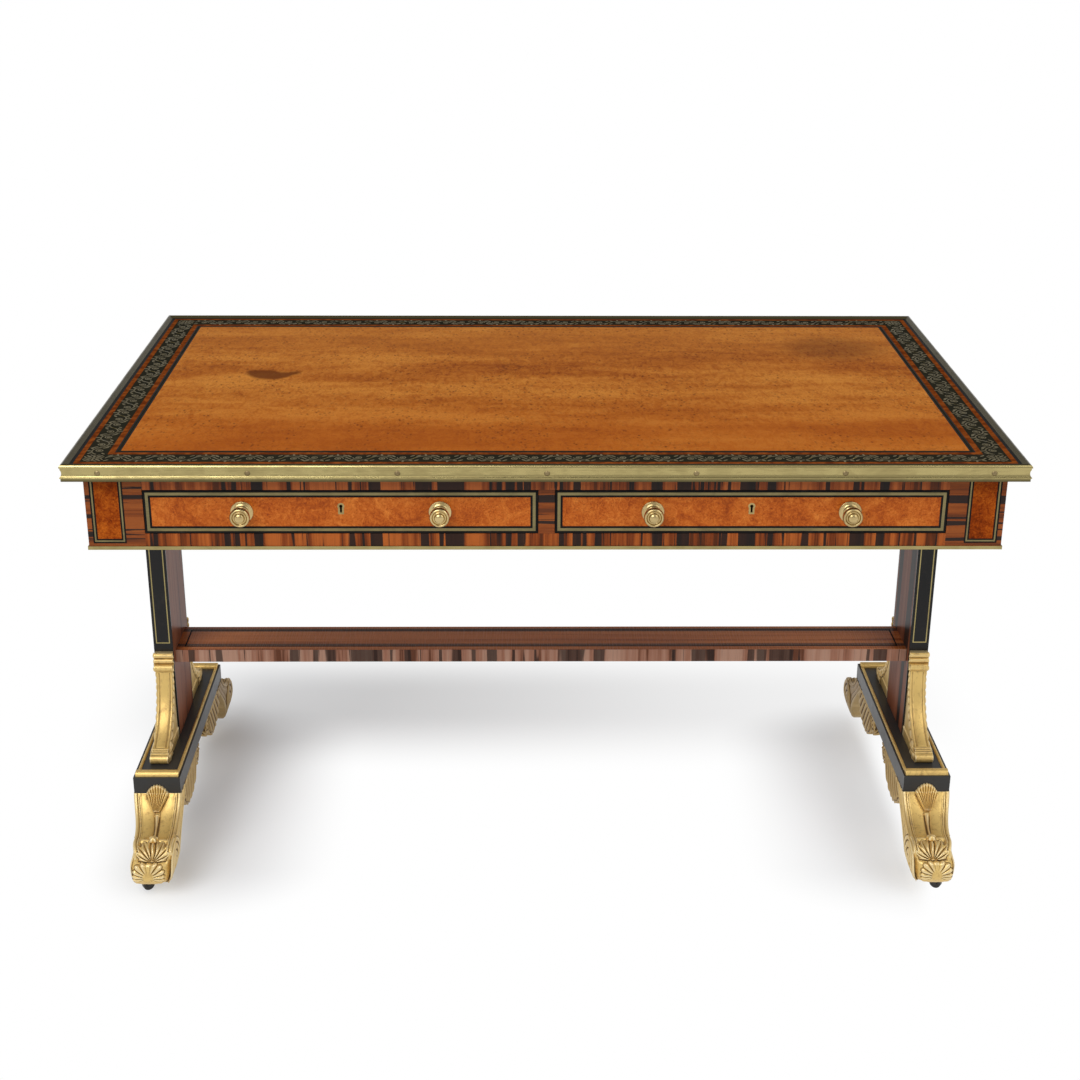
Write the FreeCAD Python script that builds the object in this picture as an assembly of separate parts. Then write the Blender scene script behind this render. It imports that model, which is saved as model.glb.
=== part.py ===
import FreeCAD, Part
import math
import os

# Writing table: inlaid top with a brass edge, two frieze drawers, twin uprights on scroll feet.
# Millimetres, +Z up, drawers face -Y, origin on the floor under the middle of the top.

# Overall size
TABLE_WIDTH = 1290.0
TABLE_DEPTH = 786.0
TABLE_HEIGHT = 735.0

# Top and its inlaid border, widths measured inwards from the brass edge
EDGE_HEIGHT = 24.0
EDGE_LIP = 10.5
EDGE_RISE = 3.5
EDGE_BEAD = 5.0
EDGE_GROOVE = 2.5
EDGE_COVE = 10.0
EDGE_COVE_DEPTH = 1.3
EDGE_LOWER_BEAD = 1.2
VENEER = 1.5
OUTER_LINE = 5.0
OUTER_CROSSBAND = 7.0
MARQUETRY_BAND = 31.0
INNER_CROSSBAND = 8.0
INNER_LINE = 7.0
PIN_HEAD = 8.0
PIN_HEAD_DEPTH = 4.0
PIN_SHANK = 4.0
PIN_BITE = 16.0
PIN_END_MARGIN = 50.0
PINS_LONG = 7
PINS_SHORT = 4

# Frieze
FRIEZE_INSET = 24.5
FRIEZE_HEIGHT = 106.0
RAIL_THICKNESS = 22.0
CORNER_WIDTH = 77.0
CORNER_DEPTH = 60.0
TOP_RAIL = 20.0
BOTTOM_RAIL = 23.0
CENTRE_STILE = 22.0
BEAD_HEIGHT = 5.0
BEAD_PROUD = 1.5
BEAD_INLET = 1.5
CORNER_PANEL_MARGIN = 6.5
CORNER_PANEL_WIDTH = 45.0
CORNER_PANEL_FOOT = 9.0
CORNER_LINE = 6.5
SIDE_PANEL_MARGIN = 24.0
DRAWER_LINE = 10.0
RUNNER_THICKNESS = 16.0
RUNNER_LEDGE = 16.0
GUIDE_HEIGHT = 18.0
KICKER_WIDTH = 24.0
STOP_WIDTH = 30.0
STOP_HEIGHT = 30.0

# Drawers
FRONT_GAP = 0.8
RUN_GAP = 0.3
SIDE_GAP = 0.6
DRAWER_BACK_ROOM = 25.0
DRAWER_FRONT = 20.0
DRAWER_SIDE = 10.0
DRAWER_SIDE_DROP = 6.0
DRAWER_BACK_DROP = 12.0
DRAWER_BOTTOM = 6.0
DRAWER_BOTTOM_RISE = 6.0
GROOVE_DEPTH = 4.0
KNOB_SPACING = 267.0
KNOB_FLANGE = 31.0
KNOB_FLANGE_THICKNESS = 3.0
KNOB_FLARE = 3.0
KNOB_NECK = 12.0
KNOB_NECK_LENGTH = 4.0
KNOB_SWELL = 8.0
KNOB_FACE = 26.6
KNOB_RIM = 8.0
KNOB_RING = 3.0
KNOB_DISH = 1.6
KNOB_BUTTON = 12.0
KNOB_BUTTON_RISE = 4.6
KNOB_SHANK = 6.0
KNOB_NUT = 12.0
KNOB_NUT_THICKNESS = 4.0
KEYHOLE_RISE = 8.0
KEYHOLE_EYE = 4.5
KEYHOLE_SLOT = 2.8
KEYHOLE_DROP = 9.0
LINING_WALL = 2.5
LINING_DEPTH = 3.0
LOCK_WIDTH = 50.0
LOCK_HEIGHT = 36.0
LOCK_DEPTH = 10.0
BOLT_WIDTH = 18.0
BOLT_THICKNESS = 5.0
BOLT_HEIGHT = 14.0
BOLT_THROW = 8.0
BOLT_SINK = 0.5
BOLT_GAP = 0.15
STRIKE_GAP = 1.0

# Base
PLINTH_SHIFT = 3.0
PLINTH_WIDTH = 72.0
PLINTH_LENGTH = 400.0
PLINTH_BOTTOM = 129.0
PLINTH_HEIGHT = 27.0
PLINTH_BEAD = 5.0
PLINTH_END_BEAD = 15.0
PLINTH_BEAD_INSET = 3.0
UPRIGHT_INSET = 21.0
UPRIGHT_THICKNESS = 30.0
UPRIGHT_DEPTH = 124.0
FACING = 3.0
FACING_LINE = 1.6
FACING_LINE_MARGIN = 4.0
FACING_LINE_FOOT = 14.0
STRETCHER_TOP = 300.0
STRETCHER_THICKNESS = 21.0
STRETCHER_DEPTH = 88.0
STRETCHER_LINE = 2.4
STRETCHER_LINE_MARGIN = 12.0
BRACKET_WIDTH = 28.0
BRACKET_HEIGHT = 150.0
BRACKET_SETBACK = 20.0
BRACKET_CAP = 10.0
BRACKET_CAP_HEIGHT = 19.0
BRACKET_ROLL = 8.0
BRACKET_SAG = 24.0

# Scroll feet and the leaf scrolls behind them
FOOT_ROOT = 50.0
FOOT_FRONT_SAG = 9.0
FOOT_BACK_SAG = 6.0
FOOT_INNER_TAPER = 3.0
FOOT_OUTER_TAPER = 13.0
TOE_REACH = 70.0
TOE_RADIUS = 36.0
TOE_VALLEY = 97.0
TOE_HEEL = 205.0
TOE_SOLE_CUT = 3.0
TOE_CLEARANCE = 20.5
SCROLL_WIDTH = 66.0
SCROLL_NEAR = 36.0
SCROLL_TUCK = 25.0
SCROLL_DROP = 57.0
SCROLL_VOLUTE = 14.0

# Recessed castors
CASTOR_SETBACK = 4.0
CASTOR_SHIFT = 8.0
WHEEL_RADIUS = 9.0
WHEEL_WIDTH = 9.0
WHEEL_ROUND = 1.5
CASTOR_TRAIL = 3.0
POCKET_RADIUS = 14.5
POCKET_CEILING = 26.0
PLATE_THICKNESS = 1.5
PLATE_GAP = 0.3
CROWN_RADIUS = 7.5
CROWN_THICKNESS = 2.0
CHEEK_THICKNESS = 1.5
CHEEK_WIDTH = 7.0
CHEEK_GAP = 0.4
STEM_RADIUS = 2.5
STEM_LENGTH = 14.0
STEM_GAP = 0.05
AXLE_RADIUS = 1.5
AXLE_GAP = 0.05
CASTOR_HEADINGS = {"front_left": 215.0, "front_right": 325.0, "back_left": 150.0, "back_right": 25.0}

# Derived places
HALF_WIDTH = TABLE_WIDTH / 2
HALF_DEPTH = TABLE_DEPTH / 2
FRIEZE_TOP = TABLE_HEIGHT - EDGE_HEIGHT
FRIEZE_FOOT = FRIEZE_TOP - FRIEZE_HEIGHT
FRIEZE_X = HALF_WIDTH - FRIEZE_INSET
FRIEZE_Y = HALF_DEPTH - FRIEZE_INSET
OPENING_X = (CENTRE_STILE / 2, FRIEZE_X - CORNER_WIDTH)
OPENING_Z = (FRIEZE_FOOT + BOTTOM_RAIL, FRIEZE_TOP - TOP_RAIL)
OPENING_MID_X = (OPENING_X[0] + OPENING_X[1]) / 2
OPENING_MID_Z = (OPENING_Z[0] + OPENING_Z[1]) / 2
RAIL_BACK_Y = -FRIEZE_Y + CORNER_DEPTH
BACK_RAIL_Y = FRIEZE_Y - RAIL_THICKNESS
SIDE_RAIL_X = FRIEZE_X - RAIL_THICKNESS
FRONT_X = (OPENING_X[0] + FRONT_GAP, OPENING_X[1] - FRONT_GAP)
FRONT_Z = (OPENING_Z[0] + FRONT_GAP, OPENING_Z[1] - FRONT_GAP)
DRAWER_FRONT_Y = (-FRIEZE_Y, -FRIEZE_Y + DRAWER_FRONT)
DRAWER_BACK_Y = BACK_RAIL_Y - DRAWER_BACK_ROOM
BOX_X = (OPENING_X[0] + SIDE_GAP, OPENING_X[1] - SIDE_GAP)
BOX_Z = (OPENING_Z[0] + RUN_GAP, FRONT_Z[1] - DRAWER_SIDE_DROP)
KEYHOLE_Z = OPENING_MID_Z + KEYHOLE_RISE
UPRIGHT_CENTRE = FRIEZE_X - UPRIGHT_INSET
PLINTH_CENTRE = UPRIGHT_CENTRE - PLINTH_SHIFT
PLINTH_END = PLINTH_LENGTH / 2
BEAD_INNER_Y = PLINTH_END - PLINTH_BEAD_INSET - PLINTH_END_BEAD
PLINTH_TOP = PLINTH_BOTTOM + PLINTH_HEIGHT
TOE_Y = PLINTH_END + TOE_REACH
TOE_Z = TOE_CLEARANCE + TOE_RADIUS - TOE_SOLE_CUT
CASTOR_X = PLINTH_CENTRE + CASTOR_SHIFT
CASTOR_Y = TOE_Y - CASTOR_SETBACK

V = FreeCAD.Vector
ORIGIN = V(0, 0, 0)
CORNERS = {"front_left": (-1, 1), "front_right": (1, 1), "back_left": (-1, -1), "back_right": (1, -1)}


def box(x, y, z):
    """A block between the ends of three (low, high) pairs."""
    return Part.makeBox(x[1] - x[0], y[1] - y[0], z[1] - z[0], V(x[0], y[0], z[0]))


def mirror_x(shape):
    return shape.mirror(ORIGIN, V(1, 0, 0))


def mirror_y(shape):
    return shape.mirror(ORIGIN, V(0, 1, 0))


def at_corner(shape, corner):
    """Take a shape made for the front right corner to any corner."""
    side, front = CORNERS[corner]
    placed = shape if side > 0 else mirror_x(shape)
    return placed if front > 0 else mirror_y(placed)


def at_corners(shape):
    return [at_corner(shape, corner) for corner in CORNERS]


def both_sides(shape):
    return [shape, mirror_x(shape)]


def prism(points, direction):
    """Extrude a closed outline of points."""
    return Part.Face(Part.makePolygon(points + points[:1])).extrude(direction)


def mitred_ring(half_x, half_y, width, z):
    """Front, right, back and left strips of a rectangular frame with mitred corners."""
    turns = [(-1, -1), (1, -1), (1, 1), (-1, 1)]
    outer = [V(x * half_x, y * half_y, z[0]) for x, y in turns]
    inner = [V(x * (half_x - width), y * (half_y - width), z[0]) for x, y in turns]
    strips = []
    for index in range(4):
        after = (index + 1) % 4
        strips.append(prism([outer[index], outer[after], inner[after], inner[index]], V(0, 0, z[1] - z[0])))
    return strips


def stand_on_front(shape, centre, face_y, depth):
    """Turn a flat inlay of the given depth up on to a front face, its middle at centre (x, z)."""
    placed = shape.copy()
    placed.rotate(ORIGIN, V(1, 0, 0), 90)
    placed.translate(V(centre[0], face_y + depth, centre[1]))
    return placed


def line_frame(half_x, half_z, width, centre, face_y):
    """A frame of laminated stringing, one veneer deep, let into a front face."""
    strips = mitred_ring(half_x, half_z, width, (0, VENEER))
    return [stand_on_front(strip, centre, face_y, VENEER) for strip in strips]


def framed_panel(half_x, half_z, width, centre, face_y):
    """A veneered panel and the stringing round it; the sizes are to the outside of the stringing."""
    panel = box(
        (centre[0] - half_x + width, centre[0] + half_x - width),
        (face_y, face_y + VENEER),
        (centre[1] - half_z + width, centre[1] + half_z - width),
    )
    return panel, line_frame(half_x, half_z, width, centre, face_y)


def cut_all(shape, tools):
    for tool in tools:
        shape = shape.cut(tool)
    return shape


def write(name, shapes):
    """Write one node, made of one solid or a group of separate solids."""
    solids = [solid for shape in shapes for solid in shape.Solids]
    shape = solids[0] if len(solids) == 1 else Part.makeCompound(solids)
    assert all(solid.isValid() for solid in solids), name
    shape.exportStep("parts/" + name + ".step")
    print(name, len(solids), "volume", round(shape.Volume, 1))


# Top


def border_half(step):
    """Half width and half depth of the top at a distance in from its edge."""
    return HALF_WIDTH - step, HALF_DEPTH - step


def edge_profile():
    """Section of the brass edge at the front: lip that falls inwards, rounded bead, groove, cove, bead and fillet."""
    outer = -HALF_DEPTH
    top = TABLE_HEIGHT
    surface = top - EDGE_RISE
    bead_low = top - EDGE_BEAD
    groove_low = bead_low - EDGE_GROOVE
    cove_low = groove_low - EDGE_COVE
    lower_low = cove_low - 2 * EDGE_LOWER_BEAD
    face = outer + EDGE_LOWER_BEAD
    hollow = V(0, face + EDGE_COVE_DEPTH, groove_low - EDGE_COVE / 2)
    inner = outer + EDGE_LIP
    turn = EDGE_BEAD * (1 - math.sqrt(0.5))
    edges = [
        Part.LineSegment(V(0, inner, surface), V(0, outer + EDGE_BEAD, top)),
        Part.Arc(V(0, outer + EDGE_BEAD, top), V(0, outer + turn, top - turn), V(0, outer, bead_low)),
        Part.LineSegment(V(0, outer, bead_low), V(0, face, bead_low)),
        Part.LineSegment(V(0, face, bead_low), V(0, face, groove_low)),
        Part.Arc(V(0, face, groove_low), hollow, V(0, face, cove_low)),
        Part.Arc(V(0, face, cove_low), V(0, outer, cove_low - EDGE_LOWER_BEAD), V(0, face, lower_low)),
        Part.LineSegment(V(0, face, lower_low), V(0, face, top - EDGE_HEIGHT)),
        Part.LineSegment(V(0, face, top - EDGE_HEIGHT), V(0, inner, top - EDGE_HEIGHT)),
        Part.LineSegment(V(0, inner, top - EDGE_HEIGHT), V(0, inner, surface)),
    ]
    return Part.Face(Part.Wire([edge.toShape() for edge in edges]))


def edge_mouldings():
    """Mitred front, right, back and left lengths of the brass edge."""
    long_bar = edge_profile().extrude(V(TABLE_WIDTH, 0, 0))
    long_bar.translate(V(-HALF_WIDTH, 0, 0))
    short_bar = edge_profile().extrude(V(TABLE_DEPTH, 0, 0))
    short_bar.translate(V(-HALF_DEPTH, HALF_DEPTH, 0))
    short_bar.rotate(ORIGIN, V(0, 0, 1), 90)
    short_bar.translate(V(HALF_WIDTH, 0, 0))
    front, right, back, left = mitred_ring(HALF_WIDTH, HALF_DEPTH, EDGE_LIP, (FRIEZE_TOP, TABLE_HEIGHT))
    return {
        "front": long_bar.common(front),
        "right": short_bar.common(right),
        "back": mirror_y(long_bar).common(back),
        "left": mirror_x(short_bar).common(left),
    }


def edge_pin():
    """A flush pin through the brass edge, pointing +Y from the origin."""
    head = Part.makeCylinder(PIN_HEAD / 2, PIN_HEAD_DEPTH, ORIGIN, V(0, 1, 0))
    return head.fuse(Part.makeCylinder(PIN_SHANK / 2, EDGE_LIP + PIN_BITE, ORIGIN, V(0, 1, 0)))


def edge_pins():
    """Rows of pins along the four sides, their heads at the bottom of the cove."""
    depth = EDGE_LOWER_BEAD + EDGE_COVE_DEPTH
    height = TABLE_HEIGHT - EDGE_BEAD - EDGE_GROOVE - EDGE_COVE / 2
    pins = {"front": [], "right": [], "back": [], "left": []}
    for index in range(PINS_LONG):
        pin = edge_pin()
        step = (TABLE_WIDTH - 2 * PIN_END_MARGIN) / (PINS_LONG - 1)
        pin.translate(V(-HALF_WIDTH + PIN_END_MARGIN + index * step, -HALF_DEPTH + depth, height))
        pins["front"].append(pin)
        pins["back"].append(mirror_y(pin))
    for index in range(PINS_SHORT):
        pin = edge_pin()
        pin.rotate(ORIGIN, V(0, 0, 1), -90)
        step = (TABLE_DEPTH - 2 * PIN_END_MARGIN) / (PINS_SHORT - 1)
        pin.translate(V(-HALF_WIDTH + depth, -HALF_DEPTH + PIN_END_MARGIN + index * step, height))
        pins["left"].append(pin)
        pins["right"].append(mirror_x(pin))
    return pins


def make_top():
    lines_in = EDGE_LIP
    outer_band_in = lines_in + OUTER_LINE
    marquetry_in = outer_band_in + OUTER_CROSSBAND
    inner_band_in = marquetry_in + MARQUETRY_BAND
    inner_line_in = inner_band_in + INNER_CROSSBAND
    field_in = inner_line_in + INNER_LINE
    surface = TABLE_HEIGHT - EDGE_RISE
    skin = (surface - VENEER, surface)

    pins = edge_pins()
    half_x, half_y = border_half(EDGE_LIP)
    board = box((-half_x, half_x), (-half_y, half_y), (FRIEZE_TOP, skin[0]))
    all_pins = [pin for row in pins.values() for pin in row]
    write("top_board", [cut_all(board, all_pins)])
    for side, moulding in edge_mouldings().items():
        write("edge_moulding_" + side, [cut_all(moulding, pins[side])])
    write("edge_moulding_pins", all_pins)

    field_x, field_y = border_half(field_in)
    write("top_field_veneer", [box((-field_x, field_x), (-field_y, field_y), skin)])
    crossbands = mitred_ring(*border_half(outer_band_in), OUTER_CROSSBAND, skin)
    crossbands += mitred_ring(*border_half(inner_band_in), INNER_CROSSBAND, skin)
    write("top_crossbands", crossbands)
    lines = mitred_ring(*border_half(lines_in), OUTER_LINE, skin)
    lines += mitred_ring(*border_half(inner_line_in), INNER_LINE, skin)
    write("top_stringing", lines)

    band_x, band_y = border_half(marquetry_in)
    inner_x = band_x - MARQUETRY_BAND
    inner_y = band_y - MARQUETRY_BAND
    front_band = box((-inner_x, inner_x), (-band_y, -inner_y), skin)
    end_band = box((inner_x, band_x), (-inner_y, inner_y), skin)
    corner = box((inner_x, band_x), (-band_y, -inner_y), skin)
    write("top_marquetry", [front_band, mirror_y(front_band)] + both_sides(end_band) + at_corners(corner))


# Frieze


def frieze_beads():
    """Brass bead round the foot of the frieze, let into the rails."""
    half_x = FRIEZE_X + BEAD_PROUD
    half_y = FRIEZE_Y + BEAD_PROUD
    return mitred_ring(half_x, half_y, BEAD_PROUD + BEAD_INLET, (FRIEZE_FOOT, FRIEZE_FOOT + BEAD_HEIGHT))


def frieze_inlays():
    """Veneered panels and stringing of the corner blocks, the ends and the blind back."""
    panels = []
    lines = []
    corner_foot = FRIEZE_FOOT + CORNER_PANEL_FOOT
    corner_half_z = (FRIEZE_TOP - corner_foot) / 2
    corner_half_x = CORNER_PANEL_WIDTH / 2
    corner_mid = (FRIEZE_X - CORNER_PANEL_MARGIN - corner_half_x, (corner_foot + FRIEZE_TOP) / 2)
    panel, frame = framed_panel(corner_half_x, corner_half_z, CORNER_LINE, corner_mid, -FRIEZE_Y)
    panels += at_corners(panel)
    for strip in frame:
        lines += at_corners(strip)

    back_half_x = (FRONT_X[1] - FRONT_X[0]) / 2
    half_z = (FRONT_Z[1] - FRONT_Z[0]) / 2
    panel, frame = framed_panel(back_half_x, half_z, DRAWER_LINE, (OPENING_MID_X, OPENING_MID_Z), -FRIEZE_Y)
    panels += both_sides(mirror_y(panel))
    for strip in frame:
        lines += both_sides(mirror_y(strip))

    end_half_y = FRIEZE_Y - CORNER_DEPTH - SIDE_PANEL_MARGIN
    panel, frame = framed_panel(end_half_y, half_z, DRAWER_LINE, (0, OPENING_MID_Z), -FRIEZE_X)
    for piece, group in [(panel, panels)] + [(strip, lines) for strip in frame]:
        turned = piece.copy()
        turned.rotate(ORIGIN, V(0, 0, 1), 90)
        group += both_sides(turned)
    return panels, lines


def knob(grip_depth):
    """A turned knob on a face at Y = 0, pointing -Y, its shank reaching grip_depth into the wood."""
    shank = KNOB_SHANK / 2
    flange = KNOB_FLANGE / 2
    neck = KNOB_NECK / 2
    face = KNOB_FACE / 2
    button = KNOB_BUTTON / 2
    neck_near = KNOB_FLANGE_THICKNESS + KNOB_FLARE
    neck_far = neck_near + KNOB_NECK_LENGTH
    rim_near = neck_far + KNOB_SWELL
    rim_far = rim_near + KNOB_RIM
    dish = rim_far - KNOB_DISH
    points = [
        (0, -grip_depth),
        (shank, -grip_depth),
        (shank, 0),
        (flange, 0),
        (flange, KNOB_FLANGE_THICKNESS),
        (neck, neck_near),
        (neck, neck_far),
        (face, rim_near),
        (face, rim_far),
        (face - KNOB_RING, rim_far),
        (face - KNOB_RING, dish),
        (button, dish),
        (button, dish + KNOB_BUTTON_RISE),
        (0, dish + KNOB_BUTTON_RISE),
    ]
    outline = [V(radius, -out, 0) for radius, out in points]
    section = Part.Face(Part.makePolygon(outline + outline[:1]))
    return section.revolve(ORIGIN, V(0, 1, 0), 360)


def knob_places():
    """The two knob centres of the right drawer, on its face."""
    return [V(OPENING_MID_X + side * KNOB_SPACING / 2, -FRIEZE_Y, OPENING_MID_Z) for side in (-1, 1)]


def knob_pair(grip_depth):
    pair = []
    for place in knob_places():
        turned = knob(grip_depth)
        turned.translate(place)
        pair.append(turned)
    return pair


def bolt_space(gap):
    """Room for the right drawer's lock bolt, at rest, with a gap all round."""
    mid_y = DRAWER_FRONT_Y[1] - LOCK_DEPTH / 2
    top = FRONT_Z[1] - BOLT_SINK
    return box(
        (OPENING_MID_X - BOLT_WIDTH / 2 - gap, OPENING_MID_X + BOLT_WIDTH / 2 + gap),
        (mid_y - BOLT_THICKNESS / 2 - gap, mid_y + BOLT_THICKNESS / 2 + gap),
        (top - BOLT_HEIGHT - gap, top),
    )


def strike_mortise():
    """Mortise in the top rail that takes the right drawer's bolt when it is thrown."""
    room = bolt_space(STRIKE_GAP).BoundBox
    low = OPENING_Z[1]
    high = FRONT_Z[1] - BOLT_SINK + BOLT_THROW + STRIKE_GAP
    return box((room.XMin, room.XMax), (room.YMin, room.YMax), (low, high))


def make_frieze():
    beads = frieze_beads()
    panels, lines = frieze_inlays()
    inlays = panels + lines
    frieze_z = (FRIEZE_FOOT, FRIEZE_TOP)
    rail_x = (-OPENING_X[1], OPENING_X[1])
    rail_y = (-FRIEZE_Y, RAIL_BACK_Y)

    top_rail = box(rail_x, rail_y, (OPENING_Z[1], FRIEZE_TOP))
    write("front_top_rail", [cut_all(top_rail, both_sides(strike_mortise()))])
    bottom_rail = box(rail_x, rail_y, (FRIEZE_FOOT, OPENING_Z[0]))
    write("front_bottom_rail", [cut_all(bottom_rail, beads)])
    write("centre_stile", [box((-OPENING_X[0], OPENING_X[0]), rail_y, OPENING_Z)])

    post = box((OPENING_X[1], FRIEZE_X), rail_y, frieze_z)
    write("corner_posts", [cut_all(one, beads + inlays) for one in at_corners(post)])
    end_rail = box((SIDE_RAIL_X, FRIEZE_X), (RAIL_BACK_Y, -RAIL_BACK_Y), frieze_z)
    write("side_rail_right", [cut_all(end_rail, beads + inlays)])
    write("side_rail_left", [cut_all(mirror_x(end_rail), beads + inlays)])

    back_rail = box(rail_x, (BACK_RAIL_Y, FRIEZE_Y), frieze_z)
    blind_knobs = [mirror_y(one) for one in knob_pair(RAIL_THICKNESS)]
    blind_knobs += [mirror_x(one) for one in blind_knobs]
    write("back_rail", [cut_all(back_rail, beads + inlays + blind_knobs)])
    write("back_knobs", blind_knobs)
    write("frieze_panels", [cut_all(panel, blind_knobs) for panel in panels])
    write("frieze_stringing", lines)
    write("frieze_beads", beads)


def make_runners():
    """Runners, guides, stops and kickers that carry the drawers inside the frieze."""
    run_y = (RAIL_BACK_Y, BACK_RAIL_Y)
    runner_z = (OPENING_Z[0] - RUNNER_THICKNESS, OPENING_Z[0])
    guide_z = (OPENING_Z[0], OPENING_Z[0] + GUIDE_HEIGHT)
    inside_post = (RAIL_BACK_Y, -RAIL_BACK_Y)
    outer_runner = box((OPENING_X[1] - RUNNER_LEDGE, OPENING_X[1]), run_y, runner_z)
    outer_runner = outer_runner.fuse(box((OPENING_X[1], SIDE_RAIL_X), inside_post, runner_z)).removeSplitter()
    centre_half = OPENING_X[0] + RUNNER_LEDGE
    centre_runner = box((-centre_half, centre_half), run_y, runner_z)
    outer_guide = box((OPENING_X[1], SIDE_RAIL_X), inside_post, guide_z)
    centre_guide = box((-OPENING_X[0], OPENING_X[0]), run_y, guide_z)
    stop_y = (DRAWER_BACK_Y + RUN_GAP, BACK_RAIL_Y)
    stop_z = (OPENING_Z[0], OPENING_Z[0] + STOP_HEIGHT)
    outer_stop = box((OPENING_X[1] - RUNNER_LEDGE, OPENING_X[1]), stop_y, stop_z)
    inner_stop = box((OPENING_X[0], centre_half), stop_y, stop_z)
    runners = both_sides(outer_runner) + [centre_runner]
    guides = both_sides(outer_guide) + [centre_guide]
    stops = both_sides(outer_stop) + both_sides(inner_stop)
    write("drawer_runners", runners + guides + stops)
    kicker_z = (OPENING_Z[1], FRIEZE_TOP)
    outer_kicker = box((OPENING_X[1] - KICKER_WIDTH, OPENING_X[1]), run_y, kicker_z)
    centre_kicker = box((-centre_half, centre_half), run_y, kicker_z)
    write("drawer_kickers", both_sides(outer_kicker) + [centre_kicker])


# Drawers


def keyhole(wall, y):
    """A keyhole outline, grown by a wall, through the range y."""
    length = y[1] - y[0]
    eye = Part.makeCylinder(KEYHOLE_EYE / 2 + wall, length, V(OPENING_MID_X, y[0], KEYHOLE_Z), V(0, 1, 0))
    half = KEYHOLE_SLOT / 2 + wall
    slot_z = (KEYHOLE_Z - KEYHOLE_DROP - wall, KEYHOLE_Z)
    slot = box((OPENING_MID_X - half, OPENING_MID_X + half), y, slot_z)
    return eye.fuse(slot).removeSplitter()


def make_drawer(side, place):
    """All the pieces of one drawer; place takes the right drawer's shapes to their side."""
    front_mid = ((FRONT_X[0] + FRONT_X[1]) / 2, (FRONT_Z[0] + FRONT_Z[1]) / 2)
    half_x = (FRONT_X[1] - FRONT_X[0]) / 2
    half_z = (FRONT_Z[1] - FRONT_Z[0]) / 2
    knobs = knob_pair(DRAWER_FRONT)
    knob_nuts = []
    for spot in knob_places():
        nut = box(
            (spot.x - KNOB_NUT / 2, spot.x + KNOB_NUT / 2),
            (DRAWER_FRONT_Y[1] - KNOB_NUT_THICKNESS, DRAWER_FRONT_Y[1]),
            (spot.z - KNOB_NUT / 2, spot.z + KNOB_NUT / 2),
        )
        knob_nuts.append(nut)
    core_y = (DRAWER_FRONT_Y[0] + VENEER, DRAWER_FRONT_Y[1])
    case_y = (DRAWER_FRONT_Y[1] - LOCK_DEPTH, DRAWER_FRONT_Y[1])
    lining_y = (DRAWER_FRONT_Y[0], DRAWER_FRONT_Y[0] + LINING_DEPTH)
    case_x = (OPENING_MID_X - LOCK_WIDTH / 2, OPENING_MID_X + LOCK_WIDTH / 2)
    case = box(case_x, case_y, (FRONT_Z[1] - LOCK_HEIGHT, FRONT_Z[1]))
    lining_body = keyhole(LINING_WALL, lining_y)
    key_way = keyhole(0, (DRAWER_FRONT_Y[0], DRAWER_FRONT_Y[1]))

    bottom_z = (BOX_Z[0] + DRAWER_BOTTOM_RISE, BOX_Z[0] + DRAWER_BOTTOM_RISE + DRAWER_BOTTOM)
    inner_x = (BOX_X[0] + DRAWER_SIDE, BOX_X[1] - DRAWER_SIDE)
    bottom_x = (inner_x[0] - GROOVE_DEPTH, inner_x[1] + GROOVE_DEPTH)
    bottom = box(bottom_x, (DRAWER_FRONT_Y[1] - GROOVE_DEPTH, DRAWER_BACK_Y), bottom_z)

    front = cut_all(box(FRONT_X, core_y, FRONT_Z), knobs + knob_nuts + [case, lining_body, key_way, bottom])
    side_y = (DRAWER_FRONT_Y[1], DRAWER_BACK_Y)
    low_side = box((BOX_X[0], inner_x[0]), side_y, BOX_Z).cut(bottom)
    high_side = box((inner_x[1], BOX_X[1]), side_y, BOX_Z).cut(bottom)
    back_z = (bottom_z[1], BOX_Z[1] - DRAWER_BACK_DROP)
    back = box(inner_x, (DRAWER_BACK_Y - DRAWER_SIDE, DRAWER_BACK_Y), back_z)
    panel, lines = framed_panel(half_x, half_z, DRAWER_LINE, front_mid, DRAWER_FRONT_Y[0])
    lining = lining_body.cut(key_way)
    bolt = bolt_space(0)
    bolt_slot = bolt_space(BOLT_GAP).fuse(bolt.translated(V(0, 0, BOLT_THROW)))
    nuts = [nut.cut(one) for nut, one in zip(knob_nuts, knobs)]

    write(side + "_drawer_front", [place(front)])
    write(side + "_drawer_box", [place(low_side), place(high_side), place(back)])
    write(side + "_drawer_bottom", [place(bottom)])
    write(side + "_drawer_panel", [place(cut_all(panel, knobs + [lining_body]))])
    write(side + "_drawer_stringing", [place(strip) for strip in lines])
    write(side + "_drawer_knobs", [place(piece) for piece in knobs + nuts])
    write(side + "_drawer_lock", [place(cut_all(case, [bolt_slot, key_way])), place(lining)])
    write(side + "_drawer_bolt", [place(bolt)])


# Base


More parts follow.
